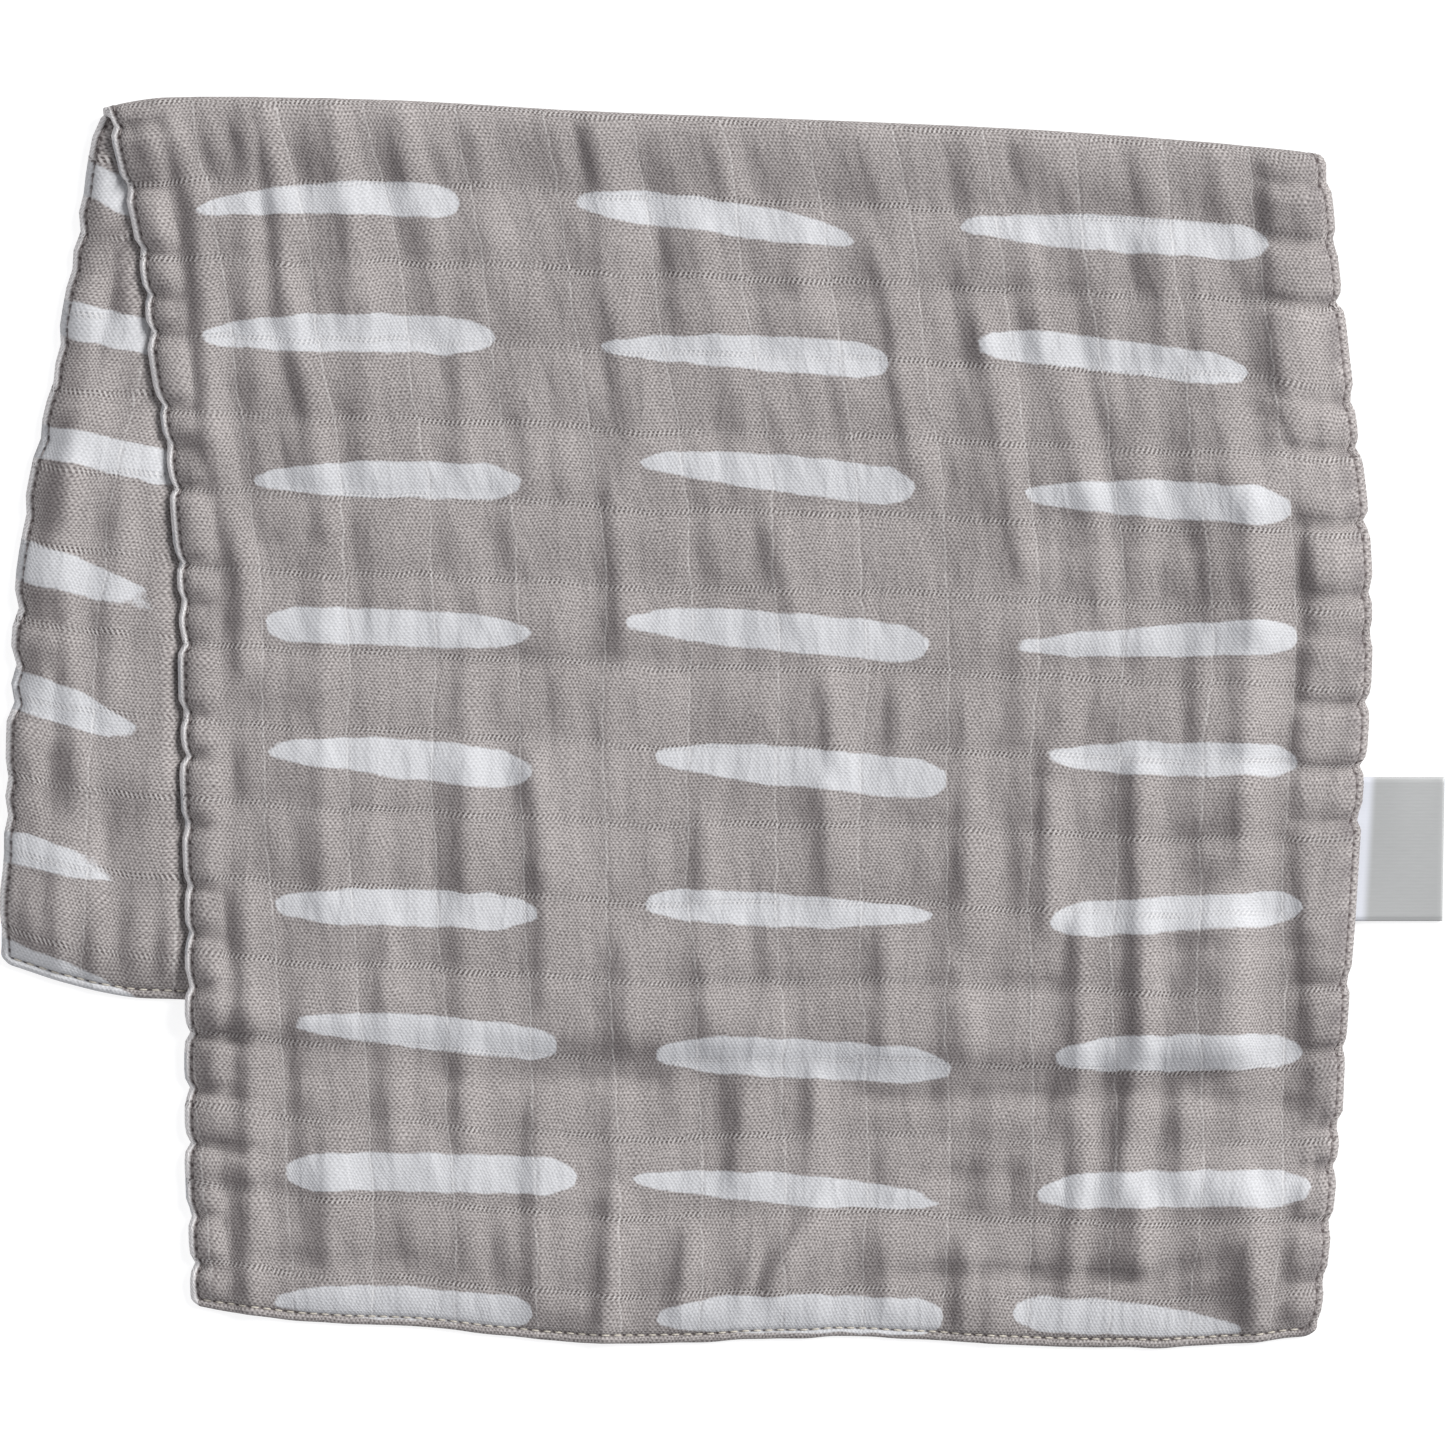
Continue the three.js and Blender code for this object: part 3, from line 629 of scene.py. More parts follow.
class Sheet:
    """The whole cloth as one grid, from the front hem over the fold to the back hem."""

    def __init__(self):
        self.u = axis_places(CLOTH_WIDTH, COLUMN_PITCH, True, True)
        front = axis_places(FRONT_LENGTH, FRONT_ROW_PITCH, True, False)
        turn = FRONT_LENGTH + np.linspace(0, TURN_LENGTH, TURN_ROWS + 1)[1:-1]
        back = FRONT_LENGTH + TURN_LENGTH + axis_places(BACK_LENGTH, BACK_ROW_PITCH, False, True)
        self.v = np.concatenate([front, turn, back])
        self.front_rows = len(front)
        self.back_start = len(front) + len(turn)
        self.U, self.V = np.meshgrid(self.u, self.v)
        self.side_inset = np.minimum(self.U, CLOTH_WIDTH - self.U)
        self.hem_inset = np.minimum(self.V, CLOTH_LENGTH - self.V)
        self.inset = np.minimum(self.side_inset, self.hem_inset)
        self.thickness = self.seam_thickness()
        self.middle = self.build_middle()
        self.normal = unit_normals(self.middle)
        half = self.thickness[..., None] / 2
        self.outer = self.middle + self.normal * half
        self.inner = self.middle - self.normal * half
        for skin in (self.outer, self.inner):
            skin[..., 2] = np.maximum(skin[..., 2], 0.0)

    def noise(self, cells):
        return value_noise(self.U / cells.across, self.V / cells.along, cells.seed)

    def border(self):
        """1 in the thick border that the seam allowance makes, 0 inside it."""
        left = 1 - smooth(self.U, LEFT_BORDER - BORDER_STEP, LEFT_BORDER)
        return np.maximum(left, self.right_border())

    def right_border(self):
        """1 in the right border's padding, with a soft flank inside its edge."""
        down = np.clip(1 - self.V / FRONT_LENGTH, 0, 1)
        y = lerp(FOLD_CORNERS[1], FRONT_HEM.right, down)
        up_edge = RIGHT_BORDER_EDGE[::-1]
        edge_x = np.interp(y, [place.y for place in up_edge], [place.x for place in up_edge])
        width = read_table(FRONT_SIDES, "right", down) - edge_x
        beyond = np.maximum(CLOTH_WIDTH - self.U - width, 0)
        return np.exp(-(beyond / BORDER_FLANK) ** CREST_POWER)

    def seam_thickness(self):
        rim = SEAM_PROFILE[-1].inset
        rolled = read_table(SEAM_PROFILE, "thickness", np.clip(self.inset, 0, rim))
        body = SHEET_THICKNESS + BORDER_EXTRA * self.border()
        return lerp(rolled, body, smooth(self.inset, rim, rim + BORDER_STEP))

    def relief(self):
        """Puffs between the tacks, wrinkles and the seams' puckers: what is added to the folds' height."""
        row_phase = (self.V - TACK_ROW_START) / TACK_ROW_PITCH
        line_phase = (self.U - TACK_LINE_START) / TACK_LINE_PITCH
        row_puff = np.abs(np.sin(math.pi * row_phase)) ** 0.6
        line_puff = np.abs(np.sin(math.pi * line_phase)) ** 0.8
        uneven = lerp(*PUFF_RANGE, self.noise(PUFF_NOISE))
        puffs = PUFF_HEIGHT * uneven * (0.75 * row_puff + 0.25 * line_puff)
        inside = smooth(self.inset, *PUFF_RISE)
        wrinkles = self.wrinkles(row_phase, row_puff)
        swells = SWELL_HEIGHT * self.noise(SWELL_NOISE) * smooth(self.inset, *SWELL_RISE)
        loft = LOFT_HEIGHT * smooth(self.inset, *LOFT_RISE)
        return puffs * inside + wrinkles * inside + swells + loft + self.border_relief()

    def wrinkles(self, row_phase, row_puff):
        """Soft wrinkles along the cloth. The shorter ones change from one row of tacks to the next."""
        short = value_noise(self.U / WRINKLE_PITCH + self.V / WRINKLE_SLANT, row_phase + 0.5, 5) ** 0.8
        slanted = self.U / LONG_WRINKLE_PITCH - self.V / LONG_WRINKLE_SLANT
        long = value_noise(slanted, self.V / LONG_WRINKLE_LENGTH, 7)
        strength = lerp(*WRINKLE_RANGE, self.noise(WRINKLE_NOISE))
        short = WRINKLE_HEIGHT * short * (0.35 + 0.65 * row_puff) * strength
        return short + LONG_WRINKLE_HEIGHT * long * strength

    def pucker(self, tucks):
        """Gathers along a side seam, 0 in each tuck and 1 midway to the next."""
        places = tuck_places(tucks)
        gap = np.searchsorted(places, self.V) - 1
        start, end = places[gap], places[gap + 1]
        fullness = np.minimum((end - start) / TUCK_PITCH, FULLEST_GATHER) ** 0.7
        from_tuck = (end - start) / math.pi * np.sin(math.pi * (self.V - start) / (end - start))
        return fullness * (1 - np.exp(-(from_tuck / TUCK_WIDTH) ** 2))

    def border_relief(self):
        """The gathers in the padded borders. Some of the left ones reach further in."""
        further = GATHER_EXTRA_REACH * smooth(line_noise(self.V, 19, 81), 0.5, 0.85)
        at_seam = np.where(self.V < FRONT_LENGTH, LIFTED_SEAM, 0.0)
        left = LEFT_GATHERS * lerp(at_seam, 1, smooth(self.U, *GATHER_START))
        left = left * (1 - smooth(self.U, GATHER_END[0], GATHER_END[1] + further))
        right_inset = CLOTH_WIDTH - self.U
        right = smooth(right_inset, *GATHER_START) * self.right_border()
        right = right * lerp(RIGHT_GATHERS[0], RIGHT_GATHERS[1], smooth(right_inset, 2.0, 10.0))
        gathers = left * self.pucker(LEFT_TUCKS) + right * self.pucker(RIGHT_TUCKS)
        return PUCKER_HEIGHT * gathers * smooth(self.hem_inset, 1.0, 8.0)

    def side_wave(self, distance, tucks, seed):
        """How far a side seam waves outward, in step with its gathers."""
        uneven = 0.5 + line_noise(self.V, 17, seed)
        out = SIDE_SCALLOP_DEPTH * np.exp(-distance / SCALLOP_REACH)
        return out * (self.pucker(tucks) - SCALLOP_MIDDLE) * uneven

    def hem_wave(self, distance, seed):
        """How far a hem waves outward."""
        out = HEM_SCALLOP_DEPTH * np.exp(-distance / SCALLOP_REACH)
        return out * (line_noise(self.U, 8.0, seed) - 0.5)

    def rounded(self):
        """The flat places with the four corners rounded off."""
        u, v = self.U.copy(), self.V.copy()
        corners = (
            (False, False, FRONT_CORNER_RADII[0]), (True, False, FRONT_CORNER_RADII[1]),
            (False, True, BACK_CORNER_RADII[0]), (True, True, BACK_CORNER_RADII[1]),
        )
        for at_right, at_back, radius in corners:
            a = (CLOTH_WIDTH - self.U if at_right else self.U) - radius
            b = (CLOTH_LENGTH - self.V if at_back else self.V) - radius
            within = (a < 0) & (b < 0)
            shrink = np.maximum(-a, -b) / np.maximum(np.hypot(a, b), 0.001)
            a = radius + a * shrink
            b = radius + b * shrink
            u = np.where(within, CLOTH_WIDTH - a if at_right else a, u)
            v = np.where(within, CLOTH_LENGTH - b if at_back else b, v)
        return u, v

    def build_middle(self):
        """The points midway between the faces. The turn's radius follows the front flap's height at it."""
        relief = self.relief()
        place_u, place_v = self.rounded()
        front = slice(0, self.front_rows)
        turn = slice(self.front_rows, self.back_start)
        back = slice(self.back_start, None)
        fold_row = self.front_rows - 1
        across = self.u / CLOTH_WIDTH
        shares = place_u / CLOTH_WIDTH

        outline = fold_outline_y(across)
        fold_x = side_x(FRONT_SIDES, across, 0.0)
        start = creases_height(FRONT_CREASES, fold_x, outline - FOLD_RADIUS) + relief[fold_row]
        radius = FOLD_RADIUS + start / 2
        axis_y = outline - self.thickness[fold_row] / 2 - radius

        front_down = 1 - place_v[front] / FRONT_LENGTH
        turned = (self.V[turn] - FRONT_LENGTH) / TURN_LENGTH
        back_down = 1 - (CLOTH_LENGTH - place_v[back]) / BACK_LENGTH
        middle = np.concatenate([
            front_flap(shares[front], front_down, relief[front], axis_y, start),
            fold_turn(across, turned, fold_x, axis_y, radius),
            back_flap(shares[back], back_down, relief[back], self.hem_inset[back], axis_y),
        ])
        middle[..., 0] -= self.side_wave(self.U, LEFT_TUCKS, 56)
        middle[..., 0] += self.side_wave(CLOTH_WIDTH - self.U, RIGHT_TUCKS, 66)
        middle[..., 1] -= self.hem_wave(self.V, 31) + self.hem_wave(CLOTH_LENGTH - self.V, 41)
        return middle

    def painted_flank_shade(self):
        """1 on the creases' steep flanks, which face left and down the page, away from the key light: where
        painted shade darkens the cloth.
        """
        rise = np.gradient(self.middle[..., 2], axis=1) / np.gradient(self.middle[..., 0], axis=1)
        rows = np.gradient(self.middle[..., 2], axis=0)
        run = np.gradient(self.middle[..., 1], axis=0)
        up_page = np.clip(rows / np.where(np.abs(run) < 0.2, np.inf, run), -1, 1)
        steep = smooth(np.clip(rise, -1, 1) + FLANK_SHADE_UP_PAGE * up_page, *FLANK_SHADE_SLOPES)
        return steep * smooth(self.inset, 2.0, 6.0)


def dash_level(dash, x, y):
    """Below 0 inside a dash and above 0 outside it: a brush stroke with two rounded, tapering ends."""
    run_x, run_y = dash.x1 - dash.x0, dash.y1 - dash.y0
    length = math.hypot(run_x, run_y)
    along = ((x - dash.x0) * run_x + (y - dash.y0) * run_y) / length
    aside = ((y - dash.y0) * run_x - (x - dash.x0) * run_y) / length
    share = np.clip(along / length, 0, 1)
    aside = aside - dash.rise * 4 * share * (1 - share)
    left = np.clip(along / dash.left_taper, 0, 1) ** DASH_END_POWER
    right = np.clip((length - along) / dash.right_taper, 0, 1) ** DASH_END_POWER
    past = np.maximum(np.maximum(-along, along - length), 0)
    return np.hypot(past, aside) - dash.thick / 2 * left * right


def dash_distance(dash, x, y):
    """Roughly how many millimetres a place is outside a dash; less than 0 inside it."""
    step = 0.4
    level = dash_level(dash, x, y)
    slope_x = (dash_level(dash, x + step, y) - dash_level(dash, x - step, y)) / (2 * step)
    slope_y = (dash_level(dash, x, y + step) - dash_level(dash, x, y - step)) / (2 * step)
    return level / np.maximum(np.hypot(slope_x, slope_y), 1.0)


def nearest_dash(dashes, x, y):
    distance = np.full(x.shape, FAR_FROM_PRINT)
    for dash in dashes:
        distance = np.minimum(distance, dash_distance(dash, x, y))
    return distance


def repeat_dashes(rows, columns):
    """The plain repeat of the print, on the cloth as it was cut."""
    first_row, pitch = rows
    dashes = []
    for row in range(math.ceil((CLOTH_LENGTH - first_row) / pitch)):
        v = first_row + row * pitch
        for place, centre in enumerate(columns):
            middle = centre + REPEAT_SHIFT * math.sin(2.1 * row + 1.7 * place)
            tilt = REPEAT_TILT * math.sin(1.3 * row + 2.9 * place)
            ends = (middle - REPEAT_LENGTH / 2, v - tilt, middle + REPEAT_LENGTH / 2, v + tilt)
            dashes.append(Dash(*ends, REPEAT_THICKNESS, REPEAT_TAPER, REPEAT_TAPER * 0.5, 0.5))
    return dashes


def print_distances(sheet):
    """The print on both faces of the sheet, as distances from the nearest dash."""
    x, y = sheet.middle[..., 0], sheet.middle[..., 1]
    on_front = np.arange(len(sheet.v)) < sheet.front_rows
    on_back = np.arange(len(sheet.v)) >= sheet.back_start
    outer = nearest_dash(repeat_dashes(OUTER_ROWS, OUTER_COLUMNS), sheet.U, sheet.V)
    outer[on_front] = nearest_dash(FRONT_DASHES, x[on_front], y[on_front])
    inner = nearest_dash(repeat_dashes(INNER_ROWS, INNER_COLUMNS), sheet.U, sheet.V)
    shown = nearest_dash(STRIP_DASHES, x[on_back], y[on_back])
    from_strip = STRIP_WIDTH - sheet.U[on_back]
    inner[on_back] = np.where(from_strip > 0, shown, np.maximum(inner[on_back], from_strip))
    wrapped = (sheet.side_inset < WRAP_WIDTH) & on_front[:, None]
    outer[wrapped] = inner[wrapped]
    return outer, inner


def new_object(name, data):
    obj = bpy.data.objects.new(name, data)
    bpy.context.scene.collection.objects.link(obj)
    return obj


def plan_shift():
    """What moves the sheet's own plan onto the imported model, from the cloth node's low corner."""
    low, _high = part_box("cloth")
    lowest_hem = float(np.min(hem_y(FRONT_HEM, np.linspace(0, 1, 401))))
    return np.array([low[0] / MM - BACK_SIDES[-1].left, low[1] / MM - lowest_hem, 0.0])


SHIFT = plan_shift()


def to_world(points):
    return (np.asarray(points) + SHIFT) * MM


def smooth_mesh(name, points, faces):
    mesh = bpy.data.meshes.new(name)
    mesh.from_pydata(to_world(points).tolist(), [], faces)
    mesh.polygons.foreach_set("use_smooth", np.ones(len(faces), dtype=bool))
    return mesh


def rim_path(rows, columns):
    """Corner numbers once round the grid's rim, against the clock as seen from the outer face."""
    bottom = list(range(columns))
    right = [row * columns + columns - 1 for row in range(1, rows)]
    top = [(rows - 1) * columns + column for column in range(columns - 2, -1, -1)]
    left = [row * columns for row in range(rows - 2, 0, -1)]
    return np.array(bottom + right + top + left)


def sheet_faces(rows, columns):
    """The corner numbers of a closed sheet's quads: one skin, the other skin, and the rim between them."""
    corner = np.arange(rows * columns).reshape(rows, columns)
    around = [corner[:-1, :-1], corner[:-1, 1:], corner[1:, 1:], corner[1:, :-1]]
    skin = np.stack(around, axis=-1).reshape(-1, 4)
    path = rim_path(rows, columns)
    following = np.roll(path, -1)
    rim = np.stack([following, path, path + corner.size, following + corner.size], axis=-1)
    return skin, skin[:, ::-1] + corner.size, rim


def both(values):
    """The same values for the corners of both skins."""
    return np.concatenate([values.reshape(-1)] * 2)


def add_uv(mesh, name, places):
    mesh.uv_layers.new(name=name).data.foreach_set("uv", places.reshape(-1))


def add_weave(mesh, u, v, faces):
    """The cloth's flat places, which its materials read."""
    flat = np.stack([both(u), both(v)], axis=-1) / WEAVE_UNIT
    add_uv(mesh, "weave", flat[faces.reshape(-1)])


def build_cloth(sheet):
    skin, under, rim = sheet_faces(*sheet.U.shape)
    faces = np.concatenate([skin, under, rim])
    points = np.concatenate([sheet.outer.reshape(-1, 3), sheet.inner.reshape(-1, 3)])
    mesh = smooth_mesh("burp_cloth", points, faces.tolist())
    slack = TURN_SLACK * np.clip((sheet.V - FRONT_LENGTH) / TURN_LENGTH, 0, 1)
    add_weave(mesh, sheet.U, sheet.V + slack, faces)
    flat = np.stack([both(sheet.U / CLOTH_WIDTH), both(sheet.V / CLOTH_LENGTH)], axis=-1)
    add_uv(mesh, "OFBake", bake_places(flat[skin], flat[under], len(rim)))

    outer, inner = print_distances(sheet)
    attributes = {
        "dash": np.concatenate([outer.reshape(-1), inner.reshape(-1)]),
        # Painted shade: how far each place lies on a crease's flank that faces away from the key light
        "flank": both(sheet.painted_flank_shade()),
        "inset": both(sheet.inset),
        "seam_place": both(np.where(sheet.side_inset < sheet.hem_inset, sheet.V, sheet.U)),
    }
    for name, values in attributes.items():
        mesh.attributes.new(name, "FLOAT", "POINT").data.foreach_set("value", values)
    mesh.update()
    return new_object("burp_cloth", mesh)


def bake_places(outer, inner, rim_count):
    """One flat layout with nothing on top of anything else: the two skins side by side, then the rim."""
    size = np.array([0.48, 0.98])
    start = 0.01 + 0.98 / rim_count * np.arange(rim_count)
    end = start + 0.98 / rim_count
    low, high = np.full(rim_count, 0.982), np.full(rim_count, 0.99)
    around = [(low, end), (low, start), (high, start), (high, end)]
    rim = np.stack([np.stack(place, axis=-1) for place in around], axis=1)
    return np.concatenate([outer * size + [0.005, 0.01], inner * size + [0.495, 0.01], rim])


def seam_runs(sheet):
    """The lines of stitches on both faces, as points, outward normals and places along the seam: the side
    seams, then the hems."""
    column = int(np.argmin(np.abs(sheet.u - STITCH_INSET)))
    row = int(np.argmin(np.abs(sheet.v - STITCH_INSET)))
    rows = slice(row, -row)
    columns = slice(column, -column)
    sides, hems = [], []
    for skin, side in ((sheet.outer, 1), (sheet.inner, -1)):
        normal = sheet.normal * side
        for edge in (column, -1 - column):
            sides.append((skin[rows, edge], normal[rows, edge], sheet.v[rows]))
        for edge in (row, -1 - row):
            hems.append((skin[edge, columns], normal[edge, columns], sheet.u[columns]))
    return sides, hems


def tube(points, radii, sides):
    """A closed round tube through the points, as corners and faces."""
    tangent = points[-1] - points[0]
    tangent = tangent / np.linalg.norm(tangent)
    side = np.cross(tangent, [0.0, 0.0, 1.0])
    if np.linalg.norm(side) < 0.2:
        side = np.cross(tangent, [1.0, 0.0, 0.0])
    side = side / np.linalg.norm(side)
    up = np.cross(side, tangent)
    angles = np.linspace(0, 2 * math.pi, sides, endpoint=False)
    ring = np.cos(angles)[:, None] * side + np.sin(angles)[:, None] * up
    corners = np.concatenate([point + radius * ring for point, radius in zip(points, radii)])
    faces = []
    for step in range(len(points) - 1):
        for place in range(sides):
            a = step * sides + place
            b = step * sides + (place + 1) % sides
            faces.append((a, a + sides, b + sides, b))
    faces.append(tuple(range(sides)))
    faces.append(tuple(range(len(corners) - 1, len(corners) - 1 - sides, -1)))
    return corners, faces


def read_along(spots, places, rows):
    return np.stack([np.interp(spots, places, rows[:, axis]) for axis in range(3)], axis=-1)


def build_stitches(name, runs, thread):
    """Every top stitch along the given runs, as a short thread that dips into the cloth at both ends."""
    corners, faces = [], []
    total = 0
    shares = np.array([row.share for row in STITCH_SHAPE])
    radii = thread.radius * np.array([row.thickness for row in STITCH_SHAPE])
    lifts = np.array(thread.lifts)[:, None]
    for points, normals, places in runs:
        for number in range(int(np.ceil(places[0] / STITCH_PITCH)), int(places[-1] / STITCH_PITCH)):
            spots = number * STITCH_PITCH + shares * STITCH_LENGTH
            centre = read_along(spots, places, points)
            ring, quads = tube(centre + read_along(spots, places, normals) * lifts, radii, THREAD_SIDES)
            corners.append(ring)
            faces += [tuple(corner + total for corner in quad) for quad in quads]
            total += len(ring)
    mesh = smooth_mesh(name, np.concatenate(corners), faces)
    mesh.update()
    return new_object(name, mesh)


def label_section():
    """The folded tape from its lower end in the seam round to its upper end: how far out each column is,
    how far the bend bulges there, and how high it has come, from 0 to 1."""
    run = np.linspace(0, 1, LABEL_COLUMNS)
    bend = np.linspace(-math.pi / 2, math.pi / 2, LABEL_BEND_STEPS + 1)[1:-1]
    out = np.concatenate([run, np.ones(len(bend)), run[::-1]])
    bulge = np.concatenate([np.zeros(len(run)), np.cos(bend), np.zeros(len(run))])
    risen = np.concatenate([np.zeros(len(run)), (1 + np.sin(bend)) / 2, np.ones(len(run))])
    return out, bulge, risen


def build_label():
    """A short satin tape, folded double, its ends tucked into the seam."""
    out, bulge, risen = label_section()
    out, share = np.meshgrid(out, np.linspace(0, 1, LABEL_ROWS))
    v = share * LABEL_LENGTH
    y = LABEL_TOP - v
    seam = read_table(FRONT_SIDES, "right", down_right_side(y, FRONT_HEM)) - LABEL_TUCK
    tilted = (LABEL_LENGTH / 2 - v) * math.tan(LABEL_TILT)
    tip = LABEL_TIP_X - LABEL_BEND_RADIUS - LABEL_TAPE / 2 + tilted
    x = lerp(seam, tip, out) + bulge * LABEL_BEND_RADIUS
    wave = LABEL_WAVE * np.sin(math.pi * out) ** 2 * (0.6 + 0.4 * np.cos(2.2 * share + 0.4))
    z = LABEL_TAPE / 2 + LABEL_CLEARANCE + 2 * LABEL_BEND_RADIUS * risen
    z = z + risen * (wave + LABEL_SEAM_RISE * (1 - out) ** 2)
    middle = np.stack([x, y, z], axis=-1)
    half = unit_normals(middle) * LABEL_TAPE / 2
    faces = np.concatenate(sheet_faces(*x.shape))
    points = np.concatenate([(middle + half).reshape(-1, 3), (middle - half).reshape(-1, 3)])
    mesh = smooth_mesh("seam_label", points, faces.tolist())
    columns = x.shape[1]
    u = np.broadcast_to(np.arange(1, columns + 1) / columns * LABEL_TAPE_LENGTH, x.shape)
    add_weave(mesh, u, v, faces)
    mesh.update()
    return new_object("seam_label", mesh)


class Value:
    """A number or colour that a material's nodes pass on. Each sign between values adds a node."""

    def __init__(self, nodes, socket):
        self.nodes = nodes
        self.socket = socket

    def __add__(self, other):
        return self.nodes.math("ADD", self, other)

    def __sub__(self, other):
        return self.nodes.math("SUBTRACT", self, other)

    def __rsub__(self, other):
        return self.nodes.math("SUBTRACT", other, self)

    def __mul__(self, other):
        return self.nodes.math("MULTIPLY", self, other)

    def __truediv__(self, other):
        return self.nodes.math("DIVIDE", self, other)

    def __abs__(self):
        return self.nodes.math("ABSOLUTE", self)

    __radd__ = __add__
    __rmul__ = __mul__


class Nodes:
    """Short calls for building a material's nodes."""

    def __init__(self, name):
        self.material = bpy.data.materials.new(name)
        self.material.use_nodes = True
        self.tree = self.material.node_tree

    def feed(self, node, inputs):
        for socket, value in inputs.items():
            if isinstance(value, Value):
                self.tree.links.new(value.socket, node.inputs[socket])
            else:
                node.inputs[socket].default_value = value

    def add(self, kind, inputs, output=0, **settings):
        node = self.tree.nodes.new(kind)
        for key, setting in settings.items():
            setattr(node, key, setting)
        self.feed(node, inputs)
        return Value(self, node.outputs[output])

    def shade(self, inputs):
        """The material, once its shader has these inputs."""
        self.feed(self.tree.nodes["Principled BSDF"], inputs)
        return self.material

    def math(self, operation, *values):
        return self.add("ShaderNodeMath", dict(enumerate(values)), operation=operation)

    def ramp(self, value, low, high, to_low=0.0, to_high=1.0):
        """A smooth step from to_low, where the value is low, to to_high, where it is high."""
        inputs = dict(enumerate((value, low, high, to_low, to_high)))
        return self.add("ShaderNodeMapRange", inputs, interpolation_type="SMOOTHSTEP")

    def near(self, distance, full, none):
        """1 up to the distance full, and 0 from the distance none on."""
        return self.ramp(distance, full, none, 1.0, 0.0)

    def mix(self, share, a, b):
        return self.add("ShaderNodeMix", {0: share, 6: a, 7: b}, 2, data_type="RGBA")

    def tint(self, colour, share, tint):
        return self.mix(tint.strength * share, colour, tint.colour)

    def noise(self, place, scale, detail=2.0, roughness=0.5):
        """Noise from 0 to 1 at a vector, or at a pair of places."""
        if isinstance(place, tuple):
            place = self.add("ShaderNodeCombineXYZ", dict(enumerate(place)))
        inputs = {"Vector": place, "Scale": scale, "Detail": detail, "Roughness": roughness}
        return self.add("ShaderNodeTexNoise", inputs, "Fac")

    def attribute(self, name):
        return self.add("ShaderNodeAttribute", {}, "Fac", attribute_name=name)

    def bump(self, height, strength, distance, under=None):
        """A normal from a height, laid over the normal that comes from under it."""
        inputs = {"Height": height, "Strength": strength, "Distance": distance}
        if under is not None:
            inputs["Normal"] = under
        return self.add("ShaderNodeBump", inputs)


def flat_places(nodes):
    """The cloth's flat coordinates in millimetres, u across and v along."""
    uv = nodes.add("ShaderNodeUVMap", {}, uv_map="weave")
    return tuple(nodes.add("ShaderNodeSeparateXYZ", {0: uv}, axis) * WEAVE_UNIT for axis in (0, 1))


def sine(nodes, place, pitch):
    return nodes.math("SINE", place * (2 * math.pi / pitch))


def wave(nodes, place, pitch):
    """A sine from 0 to 1, highest a quarter of its pitch after each whole step."""
    return sine(nodes, place, pitch) * 0.5 + 0.5


def weave_threads(nodes, u, v):
    """Plain gauze: where a warp thread lies on top, staggered from row to row, and the weft's rows."""
    across = u + 3.0 * nodes.noise((u, v), 0.11, 1.0)
    along = v + 2.4 * nodes.noise((v, u), 0.13, 1.0)
    on_top = sine(nodes, across, WARP_REPEAT) * sine(nodes, along, WEFT_REPEAT) * 0.5 + 0.5
    return on_top, wave(nodes, along, WEFT_REPEAT / 2)


def tack_rows(nodes, u, v):
    """Rows across the cloth where the gauze layers are woven together: two lines of small dark holes, and
    pale slanting threads between them. Each stretch between two lines of tacks is set off from the next."""
    stretch = nodes.math("FLOOR", (u - TACK_LINE_START) / TACK_LINE_PITCH)
    stagger = nodes.math("MODULO", abs(stretch), 2.0) * TACK_STAGGER
    place = v - TACK_ROW_START + stagger
    within = nodes.math("WRAP", place, -TACK_ROW_PITCH / 2, TACK_ROW_PITCH / 2)
    from_middle = abs(within)
    band = nodes.near(abs(from_middle - HOLE_ROW_SPREAD), 0.16, 0.4)
    slanted = wave(nodes, u + within * -0.5, HOLE_PITCH)
    patchy = nodes.ramp(nodes.noise((u, v), 0.05, 1.0), 0.34, 0.6, 0.5, 1.0)
    holes = band * nodes.ramp(slanted, 0.4, 0.8) * patchy
    bridges = nodes.near(from_middle, 0.5, 0.9) * nodes.near(slanted, 0.1, 0.55) * patchy
    return holes, bridges


def tack_lines(nodes, u, v):
    """Thin pale threads that wander along the cloth, one for each line of tacks, and their dark flank."""
    bend = nodes.ramp(v, 20.0, 130.0, 4.6, -0.8)
    sway = nodes.noise((u, v), 0.03) * 5.0 - 2.5
    waver = nodes.noise((u, v), 0.16) * 1.6 - 0.8
    place = u - TACK_LINE_START - bend + sway + waver
    within = nodes.math("WRAP", place, -TACK_LINE_PITCH / 2, TACK_LINE_PITCH / 2)
    dotted = nodes.ramp(nodes.noise((u, v), 0.5, 3.0), 0.36, 0.62, 0.3, 1.0)
    dotted = dotted * nodes.ramp(wave(nodes, v, WEFT_REPEAT), 0.0, 0.6, 0.45, 1.0)
    line = nodes.near(abs(within), 0.1, 0.36)
    flank = nodes.near(abs(within - 0.62), 0.1, 0.5)
    return line * dotted, flank * dotted


def print_share(nodes, u, v):
    """1 on a printed dash and 0 off it, with an edge that the weave roughens."""
    wander = nodes.noise((u, v), 0.14, 1.0) - 0.5
    rough = nodes.noise((u, v), 1.1, 2.0, 0.6) - 0.5
    return nodes.near(wander * 1.6 + nodes.attribute("dash") + rough * 0.7, -0.3, 0.3)


def stitch_marks(nodes):
    """The dark line of a seam's stitches, darkest where the needle went in."""
    place = nodes.attribute("seam_place") + (STITCH_PITCH - STITCH_LENGTH)
    near = nodes.near(abs(nodes.attribute("inset") - STITCH_INSET), 0.1, 0.45)
    prick = nodes.ramp(wave(nodes, place, STITCH_PITCH), 0.55, 0.92)
    return near * (prick * 0.6 + 0.4)


def bead_painted_light(nodes, u, v):
    """How much painted light lifts the left seam's rolled bead, which faces away from the key light and
    would lie in shade.
    """
    return nodes.near(u, 1.4, 1.9) * (wave(nodes, v + u, WARP_REPEAT) * 0.3 + 0.45)


